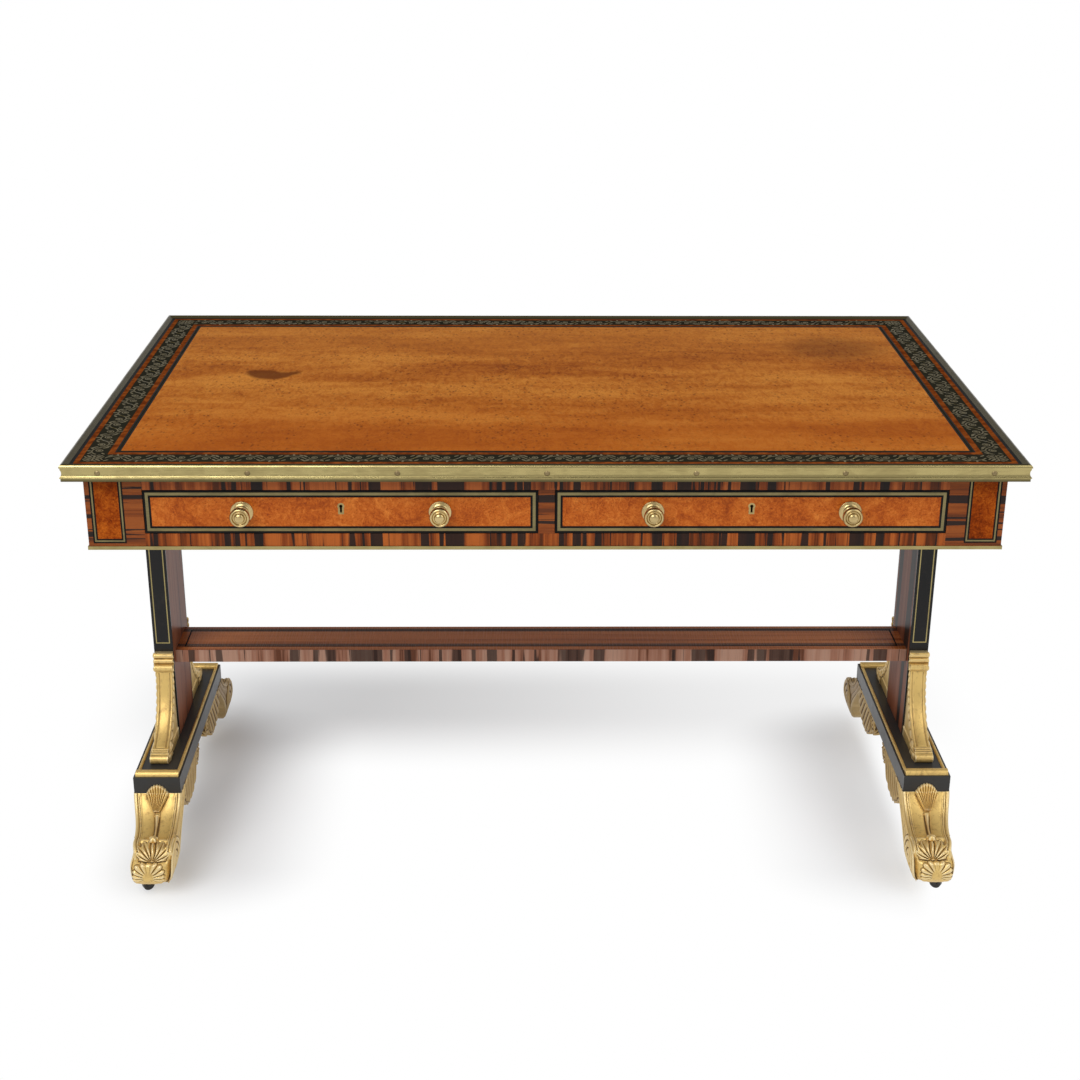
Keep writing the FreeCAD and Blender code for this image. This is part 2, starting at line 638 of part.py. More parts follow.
def bracket():
    """Scrolled console in front of the right upright: cap, roll, hollow shaft and bottom roll."""
    root = UPRIGHT_DEPTH / 2
    top = PLINTH_TOP + BRACKET_HEIGHT
    cap_low = top - BRACKET_CAP_HEIGHT
    roll_low = cap_low - 2 * BRACKET_ROLL
    cap = root + BRACKET_CAP
    toe = BEAD_INNER_Y - BRACKET_SETBACK - BRACKET_ROLL
    shaft_low = PLINTH_TOP + 2 * BRACKET_ROLL
    sag = BRACKET_SAG * math.sqrt(0.5)
    hollow = ((cap + toe) / 2 - sag, (roll_low + shaft_low) / 2 - sag)

    def at(out, z):
        return V(PLINTH_CENTRE, -out, z)

    edges = [
        Part.LineSegment(at(root, PLINTH_TOP), at(root, top)),
        Part.LineSegment(at(root, top), at(cap, top)),
        Part.LineSegment(at(cap, top), at(cap, cap_low)),
        Part.Arc(at(cap, cap_low), at(cap + BRACKET_ROLL, cap_low - BRACKET_ROLL), at(cap, roll_low)),
        Part.Arc(at(cap, roll_low), at(*hollow), at(toe, shaft_low)),
        Part.Arc(at(toe, shaft_low), at(toe + BRACKET_ROLL, shaft_low - BRACKET_ROLL), at(toe, PLINTH_TOP)),
        Part.LineSegment(at(toe, PLINTH_TOP), at(root, PLINTH_TOP)),
    ]
    profile = Part.Face(Part.Wire([edge.toShape() for edge in edges]))
    profile.translate(V(UPRIGHT_CENTRE - PLINTH_CENTRE - BRACKET_WIDTH / 2, 0, 0))
    return profile.extrude(V(BRACKET_WIDTH, 0, 0))


def half_round_bar(length, width):
    """A half-round bar along X, its flat side down at the origin."""
    full = Part.makeCylinder(width / 2, length, V(-length / 2, 0, 0), V(1, 0, 0))
    return full.common(box((-length / 2, length / 2), (-width / 2, width / 2), (0, width / 2)))


def plinth_bead():
    """Half-round bead round the top of the right plinth: heavy across its ends, light between them."""
    half_x = PLINTH_WIDTH / 2 - PLINTH_BEAD_INSET
    across = half_round_bar(2 * half_x, PLINTH_END_BEAD)
    across.translate(V(0, -BEAD_INNER_Y - PLINTH_END_BEAD / 2, 0))
    along = half_round_bar(2 * BEAD_INNER_Y, PLINTH_BEAD)
    along.rotate(ORIGIN, V(0, 0, 1), 90)
    along.translate(V(half_x - PLINTH_BEAD / 2, 0, 0))
    bars = [across, along, mirror_y(across), mirror_x(along)]
    for bar in bars:
        bar.translate(V(PLINTH_CENTRE, 0, PLINTH_TOP))
    return bars


def upright_line():
    """Brass line let into the front facing of the right upright."""
    low = PLINTH_TOP + BRACKET_HEIGHT + FACING_LINE_FOOT
    high = FRIEZE_FOOT - FACING_LINE_MARGIN
    half_x = UPRIGHT_THICKNESS / 2 - FACING_LINE_MARGIN
    centre = (UPRIGHT_CENTRE, (low + high) / 2)
    return line_frame(half_x, (high - low) / 2, FACING_LINE, centre, -UPRIGHT_DEPTH / 2)


def make_base():
    upright_x = (UPRIGHT_CENTRE - UPRIGHT_THICKNESS / 2, UPRIGHT_CENTRE + UPRIGHT_THICKNESS / 2)
    core_y = UPRIGHT_DEPTH / 2 - FACING
    upright = box(upright_x, (-core_y, core_y), (PLINTH_TOP, FRIEZE_FOOT))
    facing = box(upright_x, (-UPRIGHT_DEPTH / 2, -core_y), (PLINTH_TOP, FRIEZE_FOOT))
    lines = upright_line()
    write("upright_right", [upright])
    write("upright_left", [mirror_x(upright)])
    write("upright_facings", at_corners(cut_all(facing, lines)))
    write("upright_lines", [piece for strip in lines for piece in at_corners(strip)])
    write("brackets", at_corners(bracket()))

    stretcher_half = upright_x[0]
    half_y = STRETCHER_DEPTH / 2
    line_x = stretcher_half - STRETCHER_LINE_MARGIN
    line_y = half_y - STRETCHER_LINE_MARGIN
    line_z = (STRETCHER_TOP - VENEER, STRETCHER_TOP)
    board_z = (STRETCHER_TOP - STRETCHER_THICKNESS, STRETCHER_TOP)
    stretcher = box((-stretcher_half, stretcher_half), (-half_y, half_y), board_z)
    stretcher_line = mitred_ring(line_x, line_y, STRETCHER_LINE, line_z)
    write("stretcher", [cut_all(stretcher, stretcher_line)])
    write("stretcher_lines", stretcher_line)

    plinth_x = (PLINTH_CENTRE - PLINTH_WIDTH / 2, PLINTH_CENTRE + PLINTH_WIDTH / 2)
    plinth = box(plinth_x, (-PLINTH_END, PLINTH_END), (PLINTH_BOTTOM, PLINTH_TOP))
    write("plinth_right", [plinth])
    write("plinth_left", [mirror_x(plinth)])
    write("plinth_beads", [piece for bar in plinth_bead() for piece in both_sides(bar)])


# Feet and castors


def between(start, end, bow):
    """Middle of a chord, moved off it to its right by a bow."""
    along = end.sub(start)
    right = along.cross(V(1, 0, 0)).normalize()
    return start.add(end).multiply(0.5).add(right.multiply(bow))


def side_wedge(side_x, taper):
    """Wedge that thins one side of a foot, from nothing at its root to the taper at its sole."""
    far_y = -(TOE_Y + 2 * TOE_RADIUS)
    root = V(side_x, far_y, PLINTH_BOTTOM)
    return prism([root, V(side_x + taper, far_y, 0), V(side_x, far_y, 0)], V(0, -far_y, 0))


def foot():
    """Front right scroll foot: a hollow curve out of the plinth into a large rolled toe with a flat sole."""
    inner_x = PLINTH_CENTRE - PLINTH_WIDTH / 2
    outer_x = PLINTH_CENTRE + PLINTH_WIDTH / 2
    root_back = V(inner_x, -(PLINTH_END - FOOT_ROOT), PLINTH_BOTTOM)
    root_front = V(inner_x, -PLINTH_END, PLINTH_BOTTOM)
    sole_angle = -math.degrees(math.asin(1 - TOE_SOLE_CUT / TOE_RADIUS))

    def on_toe(angle):
        turn = math.radians(angle)
        return V(inner_x, -(TOE_Y + TOE_RADIUS * math.cos(turn)), TOE_Z + TOE_RADIUS * math.sin(turn))

    valley = on_toe(TOE_VALLEY)
    sole_front = on_toe(sole_angle)
    sole_back = on_toe(180 - sole_angle)
    heel = on_toe(TOE_HEEL)
    edges = [
        Part.LineSegment(root_back, root_front),
        Part.Arc(root_front, between(root_front, valley, -FOOT_FRONT_SAG), valley),
        Part.Arc(valley, on_toe((TOE_VALLEY + sole_angle) / 2), sole_front),
        Part.LineSegment(sole_front, sole_back),
        Part.Arc(sole_back, on_toe((180 - sole_angle + TOE_HEEL) / 2), heel),
        Part.Arc(heel, between(heel, root_back, -FOOT_BACK_SAG), root_back),
    ]
    profile = Part.Face(Part.Wire([edge.toShape() for edge in edges]))
    body = profile.extrude(V(PLINTH_WIDTH, 0, 0))
    return cut_all(body, [side_wedge(inner_x, FOOT_INNER_TAPER), side_wedge(outer_x, -FOOT_OUTER_TAPER)])


def leaf_scroll(sabre):
    """Leaf scroll hung under the front right plinth behind its foot, with a small volute at its near end."""
    left_x = PLINTH_CENTRE - SCROLL_WIDTH / 2
    low = PLINTH_BOTTOM - SCROLL_DROP
    volute_far = SCROLL_NEAR + 2 * SCROLL_VOLUTE
    far = PLINTH_END - SCROLL_TUCK

    def at(out, z):
        return V(left_x, -out, z)

    volute_side = PLINTH_BOTTOM - SCROLL_VOLUTE
    volute_low = at(SCROLL_NEAR + SCROLL_VOLUTE / 2, volute_side - SCROLL_VOLUTE)
    notch = at(volute_far, volute_side - SCROLL_VOLUTE)
    belly = at((volute_far + far) / 2, low)
    edges = [
        Part.LineSegment(at(far, PLINTH_BOTTOM), at(SCROLL_NEAR, PLINTH_BOTTOM)),
        Part.LineSegment(at(SCROLL_NEAR, PLINTH_BOTTOM), at(SCROLL_NEAR, volute_side)),
        Part.Arc(at(SCROLL_NEAR, volute_side), volute_low, notch),
        Part.Arc(notch, belly, at(far, PLINTH_BOTTOM - SCROLL_VOLUTE)),
        Part.LineSegment(at(far, PLINTH_BOTTOM - SCROLL_VOLUTE), at(far, PLINTH_BOTTOM)),
    ]
    profile = Part.Face(Part.Wire([edge.toShape() for edge in edges]))
    return profile.extrude(V(SCROLL_WIDTH, 0, 0)).cut(sabre)


def upright_cylinder(radius, z):
    return Part.makeCylinder(radius, z[1] - z[0], V(CASTOR_X, -CASTOR_Y, z[0]), V(0, 0, 1))


def castor_pieces():
    """Plate, fork with its axle, and wheel of the front right castor, trailing towards +X."""
    plate_low = POCKET_CEILING - PLATE_THICKNESS
    crown_top = plate_low - PLATE_GAP
    crown_low = crown_top - CROWN_THICKNESS
    stem_top = POCKET_CEILING + STEM_LENGTH
    plate = upright_cylinder(POCKET_RADIUS, (plate_low, POCKET_CEILING))
    plate = plate.cut(upright_cylinder(STEM_RADIUS + STEM_GAP, (plate_low, POCKET_CEILING)))

    axle_x = CASTOR_X + CASTOR_TRAIL
    cheek_x = (axle_x - CHEEK_WIDTH / 2, axle_x + CHEEK_WIDTH / 2)
    cheek_in = WHEEL_WIDTH / 2 + CHEEK_GAP
    cheek_out = cheek_in + CHEEK_THICKNESS
    cheek_z = (WHEEL_RADIUS, crown_top)
    fork = upright_cylinder(CROWN_RADIUS, (crown_low, crown_top))
    fork = fork.fuse(upright_cylinder(STEM_RADIUS, (crown_top, stem_top)))
    for side in (-1, 1):
        near = -CASTOR_Y + side * cheek_in
        far = -CASTOR_Y + side * cheek_out
        cheek = box(cheek_x, (min(near, far), max(near, far)), cheek_z)
        eye_start = V(axle_x, min(near, far), WHEEL_RADIUS)
        eye = Part.makeCylinder(CHEEK_WIDTH / 2, CHEEK_THICKNESS, eye_start, V(0, 1, 0))
        fork = fork.fuse(cheek).fuse(eye)
    axle_start = V(axle_x, -CASTOR_Y - cheek_out, WHEEL_RADIUS)
    axle = Part.makeCylinder(AXLE_RADIUS, 2 * cheek_out, axle_start, V(0, 1, 0))
    fork = fork.fuse(axle).removeSplitter()

    wheel_start = V(axle_x, -CASTOR_Y - WHEEL_WIDTH / 2, WHEEL_RADIUS)
    wheel = Part.makeCylinder(WHEEL_RADIUS, WHEEL_WIDTH, wheel_start, V(0, 1, 0))
    rims = [edge for edge in wheel.Edges if abs(edge.Length - 2 * math.pi * WHEEL_RADIUS) < 0.01]
    wheel = wheel.makeFillet(WHEEL_ROUND, rims)
    wheel = wheel.cut(Part.makeCylinder(AXLE_RADIUS + AXLE_GAP, WHEEL_WIDTH, wheel_start, V(0, 1, 0)))
    return plate, fork, wheel


def make_feet():
    sabre = foot()
    pocket = upright_cylinder(POCKET_RADIUS, (0, POCKET_CEILING))
    stem_z = (POCKET_CEILING, POCKET_CEILING + STEM_LENGTH + PLATE_GAP)
    stem_hole = upright_cylinder(STEM_RADIUS + STEM_GAP, stem_z)
    write("feet", at_corners(cut_all(sabre, [pocket, stem_hole])))
    write("foot_scrolls", at_corners(leaf_scroll(sabre)))
    plate, fork, wheel = castor_pieces()
    write("castor_plates", at_corners(plate))
    for corner, (side, front) in CORNERS.items():
        pivot = V(side * CASTOR_X, -front * CASTOR_Y, 0)
        for name, piece in (("fork", fork), ("wheel", wheel)):
            turned = piece.translated(V(-CASTOR_X, CASTOR_Y, 0))
            turned.rotate(ORIGIN, V(0, 0, 1), CASTOR_HEADINGS[corner])
            turned.translate(pivot)
            write("castor_" + name + "_" + corner, [turned])


os.makedirs("parts", exist_ok=True)
make_top()
make_frieze()
make_runners()
make_drawer("right", lambda shape: shape)
make_drawer("left", mirror_x)
make_base()
make_feet()
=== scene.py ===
"""Long writing table: inlaid top with a brass edge, drawer frieze, twin uprights and gilt scroll feet."""
import logging
import math
from dataclasses import dataclass, replace
from enum import Enum
from typing import Any, Callable, Dict, List, Optional, Sequence, Tuple, Union

import bmesh
import bpy
from bmesh.types import BMesh, BMVert
from mathutils import Matrix, Vector


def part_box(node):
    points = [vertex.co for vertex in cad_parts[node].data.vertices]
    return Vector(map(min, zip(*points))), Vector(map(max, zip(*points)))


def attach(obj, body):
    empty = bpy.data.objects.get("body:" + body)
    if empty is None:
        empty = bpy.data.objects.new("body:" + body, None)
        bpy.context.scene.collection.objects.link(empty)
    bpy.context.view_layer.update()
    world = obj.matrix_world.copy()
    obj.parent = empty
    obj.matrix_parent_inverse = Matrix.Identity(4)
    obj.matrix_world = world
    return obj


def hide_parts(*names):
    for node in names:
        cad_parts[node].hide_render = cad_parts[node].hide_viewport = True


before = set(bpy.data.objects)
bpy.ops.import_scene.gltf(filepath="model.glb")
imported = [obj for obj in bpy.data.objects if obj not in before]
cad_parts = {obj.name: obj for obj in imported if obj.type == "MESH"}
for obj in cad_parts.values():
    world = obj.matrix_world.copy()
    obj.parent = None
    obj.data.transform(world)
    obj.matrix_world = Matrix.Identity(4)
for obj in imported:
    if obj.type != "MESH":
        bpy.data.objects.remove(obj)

LOG = logging.getLogger("writing_table")
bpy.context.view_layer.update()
MM = 0.001
# Points nearer than this, in millimetres, are one.
WELD = 0.002
# Share of the way to its neighbours that a round of smoothing moves a point.
SMOOTHING = 0.6
# Rounding that a walk along a line allows for.
SLACK = 1e-6
# Materials made so far, by the names of their finishes.
MADE: Dict[str, bpy.types.Material] = {}
# Side and front of each corner: 1 for right and front, -1 for left and back.
CORNERS = {"front_left": (-1, 1), "front_right": (1, 1), "back_left": (-1, -1), "back_right": (1, -1)}
Colour = Tuple[float, float, float, float]
Pair = Tuple[float, float]
Triple = Tuple[float, float, float]
Arc = Tuple[Pair, Pair, int]
Relief = Callable[[float, float], float]
SideRelief = Callable[[Vector, float], float]


def tint(red: float, green: float, blue: float) -> Colour:
    """A solid colour."""
    return (red, green, blue, 1.0)


def mm_box(node: str) -> Tuple[Vector, Vector]:
    """Lowest and highest corner of a node in millimetres."""
    low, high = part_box(node)
    return low / MM, high / MM


def held(value: float) -> float:
    """A value held between 0 and 1."""
    return min(1.0, max(0.0, value))


@dataclass(frozen=True)
class Span:
    """A stretch that counts in full between two limits and fades to nothing inside them."""

    low: float
    high: float
    soft: float

    def at(self, value: float) -> float:
        """Weight of a place, from 0 to 1."""
        share = held(min(value - self.low, self.high - value) / self.soft)
        return share * share * (3 - 2 * share)


@dataclass(frozen=True)
class Ridge:
    """A half-round ridge: its height, its middle and its half width."""

    high: float
    middle: float
    half: float

    def at(self, value: float) -> float:
        """Height at a place across it."""
        share = (value - self.middle) / self.half
        return self.high * math.sqrt(1 - share * share) if abs(share) < 1 else 0.0


class Wire:
    """A node's output that can stand in sums."""

    def __init__(self, graph: "Graph", socket: bpy.types.NodeSocket) -> None:
        """Keep the socket and the graph it belongs to."""
        self.graph = graph
        self.socket = socket

    def _sum(self, operation: str, first: "Value", second: "Value") -> "Wire":
        """Add one Math node."""
        return self.graph.node("ShaderNodeMath", {"operation": operation}, {0: first, 1: second})

    def __add__(self, other: "Value") -> "Wire":
        """Sum of two values."""
        return self._sum("ADD", self, other)

    def __radd__(self, other: "Value") -> "Wire":
        """Sum with a number first."""
        return self._sum("ADD", other, self)

    def __sub__(self, other: "Value") -> "Wire":
        """Difference of two values."""
        return self._sum("SUBTRACT", self, other)

    def __rsub__(self, other: "Value") -> "Wire":
        """Difference with a number first."""
        return self._sum("SUBTRACT", other, self)

    def __mul__(self, other: "Value") -> "Wire":
        """Product of two values."""
        return self._sum("MULTIPLY", self, other)

    def __rmul__(self, other: "Value") -> "Wire":
        """Product with a number first."""
        return self._sum("MULTIPLY", other, self)

    def __pow__(self, other: "Value") -> "Wire":
        """One value to the power of another."""
        return self._sum("POWER", self, other)

    def __abs__(self) -> "Wire":
        """Size of a value without its sign."""
        return self._sum("ABSOLUTE", self, 0.0)

    def most(self, other: "Value") -> "Wire":
        """Larger of two values."""
        return self._sum("MAXIMUM", self, other)


Value = Union[Wire, float]


@dataclass(frozen=True)
class Grain:
    """One layer of cloudy noise in a finish."""

    scale: float
    detail: float = 3.0
    rough: float = 0.55
    twist: float = 0.0


@dataclass(frozen=True)
class Step:
    """A smooth step from nothing at one limit to a share at the other, which may be the lower one."""

    none: float
    full: float
    share: float = 1.0


class Graph:
    """The nodes of one finish."""

    def __init__(self, tree: bpy.types.NodeTree) -> None:
        """Start from an empty tree."""
        self.tree = tree
        self.tree.nodes.clear()

    def node(self, kind: str, settings: Optional[Dict[str, Any]] = None,
             inputs: Optional[Dict[Union[str, int], Any]] = None, output: Union[str, int] = 0) -> Wire:
        """Add a node.

        Args:
            kind: Node type.
            settings: Properties of the node; "stops" holds a ramp's places and colours.
            inputs: Values or wires by socket.
            output: Socket to hand back.

        Returns:
            The chosen output.
        """
        made = self.tree.nodes.new(kind)
        for key, value in (settings or {}).items():
            if key == "stops":
                ramp = made.color_ramp
                while len(ramp.elements) < len(value):
                    ramp.elements.new(1.0)
                for element, (place, colour) in zip(ramp.elements, value):
                    element.position = place
                    element.color = colour
            else:
                setattr(made, key, value)
        for key, value in (inputs or {}).items():
            if isinstance(value, Wire):
                self.tree.links.new(value.socket, made.inputs[key])
            else:
                made.inputs[key].default_value = value
        return Wire(self, made.outputs[output])

    def place(self, scale: Sequence[float] = (1, 1, 1), move: Sequence[float] = (0, 0, 0)) -> Wire:
        """Object coordinates, scaled and moved."""
        where = self.node("ShaderNodeTexCoord", output="Object")
        return self.node("ShaderNodeMapping", inputs={"Vector": where, "Scale": scale, "Location": move})

    def upward(self) -> Wire:
        """How far a face looks up, from -1 to 1."""
        facing = self.node("ShaderNodeTexCoord", output="Normal")
        return self.node("ShaderNodeSeparateXYZ", inputs={0: facing}, output=2)

    def axes(self) -> Tuple[Wire, Wire, Wire]:
        """Object coordinates one by one.

        Returns:
            Place along, across and up.
        """
        where = self.node("ShaderNodeTexCoord", output="Object")
        split = self.node("ShaderNodeSeparateXYZ", inputs={0: where})
        outputs = split.socket.node.outputs
        return split, Wire(self, outputs[1]), Wire(self, outputs[2])

    def noise(self, vector: Wire, grain: Grain) -> Wire:
        """Cloudy noise from 0 to 1."""
        return self.node("ShaderNodeTexNoise", inputs={
            "Vector": vector, "Scale": grain.scale, "Detail": grain.detail, "Roughness": grain.rough,
            "Distortion": grain.twist})

    def cells(self, vector: Wire, scale: float) -> Wire:
        """Distance to the nearest of many scattered points."""
        return self.node("ShaderNodeTexVoronoi", inputs={"Vector": vector, "Scale": scale},
                         output="Distance")

    def step(self, value: Wire, step: Step) -> Wire:
        """Share that a smooth step gives a value."""
        return self.node("ShaderNodeMapRange", {"interpolation_type": "SMOOTHSTEP"}, {
            "Value": value, "From Min": step.none, "From Max": step.full, "To Max": step.share})

    def mix(self, share: Value, first: Any, second: Any) -> Wire:
        """Blend two colours by a share."""
        return self.node("ShaderNodeMix", {"data_type": "RGBA"}, {0: share, 6: first, 7: second}, output=2)

    def ramp(self, value: Wire, stops: Sequence[Tuple[float, Colour]]) -> Wire:
        """Colour looked up along a row of stops."""
        return self.node("ShaderNodeValToRGB", {"stops": stops}, {0: value})

    def figure(self, layers: Sequence[Wire], shares: Triple, stops: Triple, tones: Sequence[Colour]) -> Wire:
        """Colour of a burr's figure.

        Args:
            layers: Three layers of noise.
            shares: Weight of each layer.
            stops: Places of the tones along the weighed sum.
            tones: Dark, middle and pale tone.

        Returns:
            The colour.
        """
        weighed = [layer * share for layer, share in zip(layers, shares)]
        return self.ramp(weighed[0] + weighed[1] + weighed[2], list(zip(stops, tones)))

    def bump(self, height: Wire, depth: float) -> Wire:
        """Surface normal of a height, its depth in metres."""
        return self.node("ShaderNodeBump", inputs={"Height": height, "Distance": depth, "Strength": 1.0})

    def surface(self, **inputs: Any) -> None:
        """Close the graph with a principled surface.

        Args:
            inputs: Socket values, their names with underscores for spaces.
        """
        named = {key.replace("_", " "): value for key, value in inputs.items()}
        shader = self.node("ShaderNodeBsdfPrincipled", inputs=named)
        self.node_output(shader)

    def node_output(self, shader: Wire) -> None:
        """Lead a shader to the material's output."""
        out = self.tree.nodes.new("ShaderNodeOutputMaterial")
        self.tree.links.new(shader.socket, out.inputs["Surface"])


def new_finish(name: str) -> Tuple[bpy.types.Material, Graph]:
    """Start an empty material.

    Args:
        name: Its name.

    Returns:
        The material and its graph.
    """
    material = bpy.data.materials.new(name)
    material.use_nodes = True
    return material, Graph(material.node_tree)


class Finish:
    """A finish of the table; each kind paints its own nodes."""

    name: str

    def paint(self, graph: Graph) -> None:
        """Add the finish's nodes to an empty graph."""
        raise NotImplementedError

    def build(self) -> bpy.types.Material:
        """Make the material where the finish is first used.

        Returns:
            The painted material.
        """
        if self.name not in MADE:
            MADE[self.name], graph = new_finish(self.name)
            self.paint(graph)
        return MADE[self.name]


class Axis(Enum):
    """Direction that a veneer's streaks follow one another along."""

    X = 0
    Y = 1
    Z = 2


@dataclass(frozen=True)
class FieldVeneer(Finish):
    """Mellow burr veneer of the top: orange at the front, with a painted highlight that pales it towards the
    back, and a few old stains.
    """

    name: str = "field_veneer"
    pale: Colour = tint(0.60, 0.225, 0.034)
    warm: Colour = tint(0.425, 0.122, 0.0125)
    deep: Colour = tint(0.265, 0.058, 0.0045)
    orange: Colour = tint(0.44, 0.105, 0.0085)
    fleck: Colour = tint(0.105, 0.024, 0.004)
    stain: Colour = tint(0.13, 0.030, 0.004)
    tall: Triple = (1.0, 0.5, 1.0)
    long: Triple = (0.55, 2.4, 1.0)
    broad: Grain = Grain(3.0, 3.0, 0.5, 0.4)
    cloud: Grain = Grain(11.0, 4.0, 0.6, 0.6)
    burr: Grain = Grain(92.0, 5.0, 0.70, 1.4)
    fine: Grain = Grain(420.0, 3.0, 0.6)
    patch: Grain = Grain(8.0)
    worm: Grain = Grain(46.0, 3.0, 0.6, 0.8)
    wander: Grain = Grain(30.0, 4.0)
    eye_scale: float = 125.0
    figure_shares: Triple = (0.42, 0.22, 0.36)
    figure_stops: Triple = (0.40, 0.485, 0.58)
    front_step: Step = Step(-0.02, -0.30, 0.55)
    back_highlight_step: Step = Step(0.04, 0.33, 0.30)
    burr_step: Step = Step(0.54, 0.76, 0.36)
    fine_step: Step = Step(0.50, 0.72, 0.26)
    patch_step: Step = Step(0.34, 0.56)
    eye_step: Step = Step(0.32, 0.06, 0.62)
    worm_step: Step = Step(0.022, 0.004, 0.30)
    stray: Pair = (0.5, -0.4)
    ink_mark: Pair = (-0.419, 0.042)
    ink_reach: Pair = (0.046, 0.040)
    ink_keel: float = 0.95
    ink_deck: float = 0.75
    ink_notch: Step = Step(-0.1, 0.35)
    ink_stern: Step = Step(0.5, 0.95, 0.7)
    ink_notch_depth: float = 0.30
    ink_ends: Step = Step(1.02, 0.80)
    ink_soft: Step = Step(0.0, 0.42)
    ink_share: float = 0.88
    cloud_mark: Pair = (0.475, 0.190)
    cloud_reach: Pair = (0.10, 0.085)
    cloud_step: Step = Step(1.2, 0.3, 0.5)
    ring_mark: Pair = (-0.048, 0.081)
    ring_reach: Pair = (0.015, 0.015)
    ring_radius: float = 0.9
    ring_step: Step = Step(0.26, 0.04, 0.4)
    gloss: float = 0.24
    burr_gloss: float = 0.12
    ink_gloss: float = 0.1
    shine: float = 0.004
    relief: float = 0.00006

    def spot(self, graph: Graph, centre: Pair, reach: Pair) -> Tuple[Wire, Wire]:
        """Place on the top as shares of a stain's half sizes.

        Args:
            graph: Graph to add to.
            centre: Middle of the stain.
            reach: Half sizes along and across the top.

        Returns:
            Share along and share across.
        """
        x, y, _ = graph.axes()
        wander = graph.noise(graph.place(), self.wander) - 0.5
        along = (x - centre[0]) * (1 / reach[0]) + wander * self.stray[0]
        across = (y - centre[1]) * (1 / reach[1]) + wander * self.stray[1]
        return along, across

    def ink(self, graph: Graph) -> Wire:
        """Boat-shaped ink stain, flat at the back with a notch to its right.

        Args:
            graph: Graph to add to.

        Returns:
            Share of the stain.
        """
        along, across = self.spot(graph, self.ink_mark, self.ink_reach)
        keel = across - along * along * self.ink_keel + self.ink_keel
        notch = graph.step(along, self.ink_notch) - graph.step(along, self.ink_stern)
        deck = self.ink_deck - across - notch * self.ink_notch_depth
        ends = graph.step(abs(along), self.ink_ends)
        return graph.step(keel, self.ink_soft) * graph.step(deck, self.ink_soft) * ends

    def round_spot(self, graph: Graph, centre: Pair, reach: Pair) -> Wire:
        """Distance from a round stain's middle, in shares of its half sizes."""
        along, across = self.spot(graph, centre, reach)
        return (along * along + across * across) ** 0.5

    def flecks(self, graph: Graph) -> Wire:
        """Small dark eyes and wandering lines, gathered in patches.

        Args:
            graph: Graph to add to.

        Returns:
            Share of the flecks.
        """
        patch = graph.step(graph.noise(graph.place(), self.patch), self.patch_step)
        eyes = graph.step(graph.cells(graph.place(self.tall), self.eye_scale), self.eye_step)
        worm = graph.step(abs(graph.noise(graph.place(), self.worm) - 0.5), self.worm_step)
        return (eyes + worm) * patch

    def paint(self, graph: Graph) -> None:
        """Paint the figure, then the flecks and the stains over it.

        Args:
            graph: Graph to add to.
        """
        broad = graph.noise(graph.place(self.long), self.broad)
        cloud = graph.noise(graph.place(self.long), self.cloud)
        burr = graph.noise(graph.place(self.tall), self.burr)
        fine = graph.noise(graph.place(self.tall), self.fine)
        tones = (self.deep, self.warm, self.pale)
        colour = graph.figure((broad, cloud, burr), self.figure_shares, self.figure_stops, tones)
        _, y, _ = graph.axes()
        colour = graph.mix(graph.step(y, self.front_step), colour, self.orange)
        # Painted highlight: the veneer pales towards the back of the top.
        colour = graph.mix(graph.step(y, self.back_highlight_step), colour, self.pale)
        colour = graph.mix(graph.step(burr, self.burr_step), colour, self.deep)
        colour = graph.mix(graph.step(fine, self.fine_step), colour, self.deep)
        colour = graph.mix(self.flecks(graph), colour, self.fleck)
        haze = self.round_spot(graph, self.cloud_mark, self.cloud_reach)
        ring = self.round_spot(graph, self.ring_mark, self.ring_reach) - self.ring_radius
        ink = self.ink(graph)
        colour = graph.mix(graph.step(haze, self.cloud_step), colour, self.stain)
        colour = graph.mix(graph.step(abs(ring), self.ring_step), colour, self.stain)
        colour = graph.mix(ink * self.ink_share, colour, self.stain)
        rough = self.gloss + burr * self.burr_gloss + ink * self.ink_gloss
        graph.surface(Base_Color=colour, Roughness=rough, Specular_IOR_Level=self.shine,
                      Normal=graph.bump(burr, self.relief))


@dataclass(frozen=True)
class BurrVeneer(Finish):
    """Tight burr of the drawer fronts and frieze panels."""

    name: str = "burr_panel"
    warm: Colour = tint(0.46, 0.098, 0.0095)
    pale: Colour = tint(0.66, 0.20, 0.030)
    deep: Colour = tint(0.27, 0.046, 0.0045)
    fleck: Colour = tint(0.13, 0.022, 0.004)
    cloud: Grain = Grain(24.0, 3.0, 0.6, 1.0)
    swirl: Grain = Grain(105.0, 5.0, 0.66, 2.0)
    fine: Grain = Grain(330.0, 4.0, 0.7, 1.2)
    drift: Grain = Grain(14.0)
    eye_scale: float = 250.0
    figure_shares: Triple = (0.38, 0.37, 0.25)
    figure_stops: Triple = (0.38, 0.49, 0.63)
    pore_step: Step = Step(0.46, 0.32, 0.4)
    eye_step: Step = Step(0.34, 0.10, 0.45)
    drift_step: Step = Step(0.40, 0.62)
    gloss: float = 0.24
    fine_gloss: float = 0.12
    shine: float = 0.12
    relief: float = 0.00005

    def paint(self, graph: Graph) -> None:
        """Paint the burr, its pores and its eyes.

        Args:
            graph: Graph to add to.
        """
        layers = [graph.noise(graph.place(), grain) for grain in (self.cloud, self.swirl, self.fine)]
        fine = layers[2]
        tones = (self.deep, self.warm, self.pale)
        eyes = graph.step(graph.cells(graph.place(), self.eye_scale), self.eye_step)
        drift = graph.step(graph.noise(graph.place(), self.drift), self.drift_step)
        colour = graph.figure(layers, self.figure_shares, self.figure_stops, tones)
        colour = graph.mix(graph.step(fine, self.pore_step), colour, self.fleck)
        colour = graph.mix(eyes * drift, colour, self.fleck)
        graph.surface(Base_Color=colour, Roughness=self.gloss + fine * self.fine_gloss,
                      Specular_IOR_Level=self.shine, Normal=graph.bump(fine, self.relief))


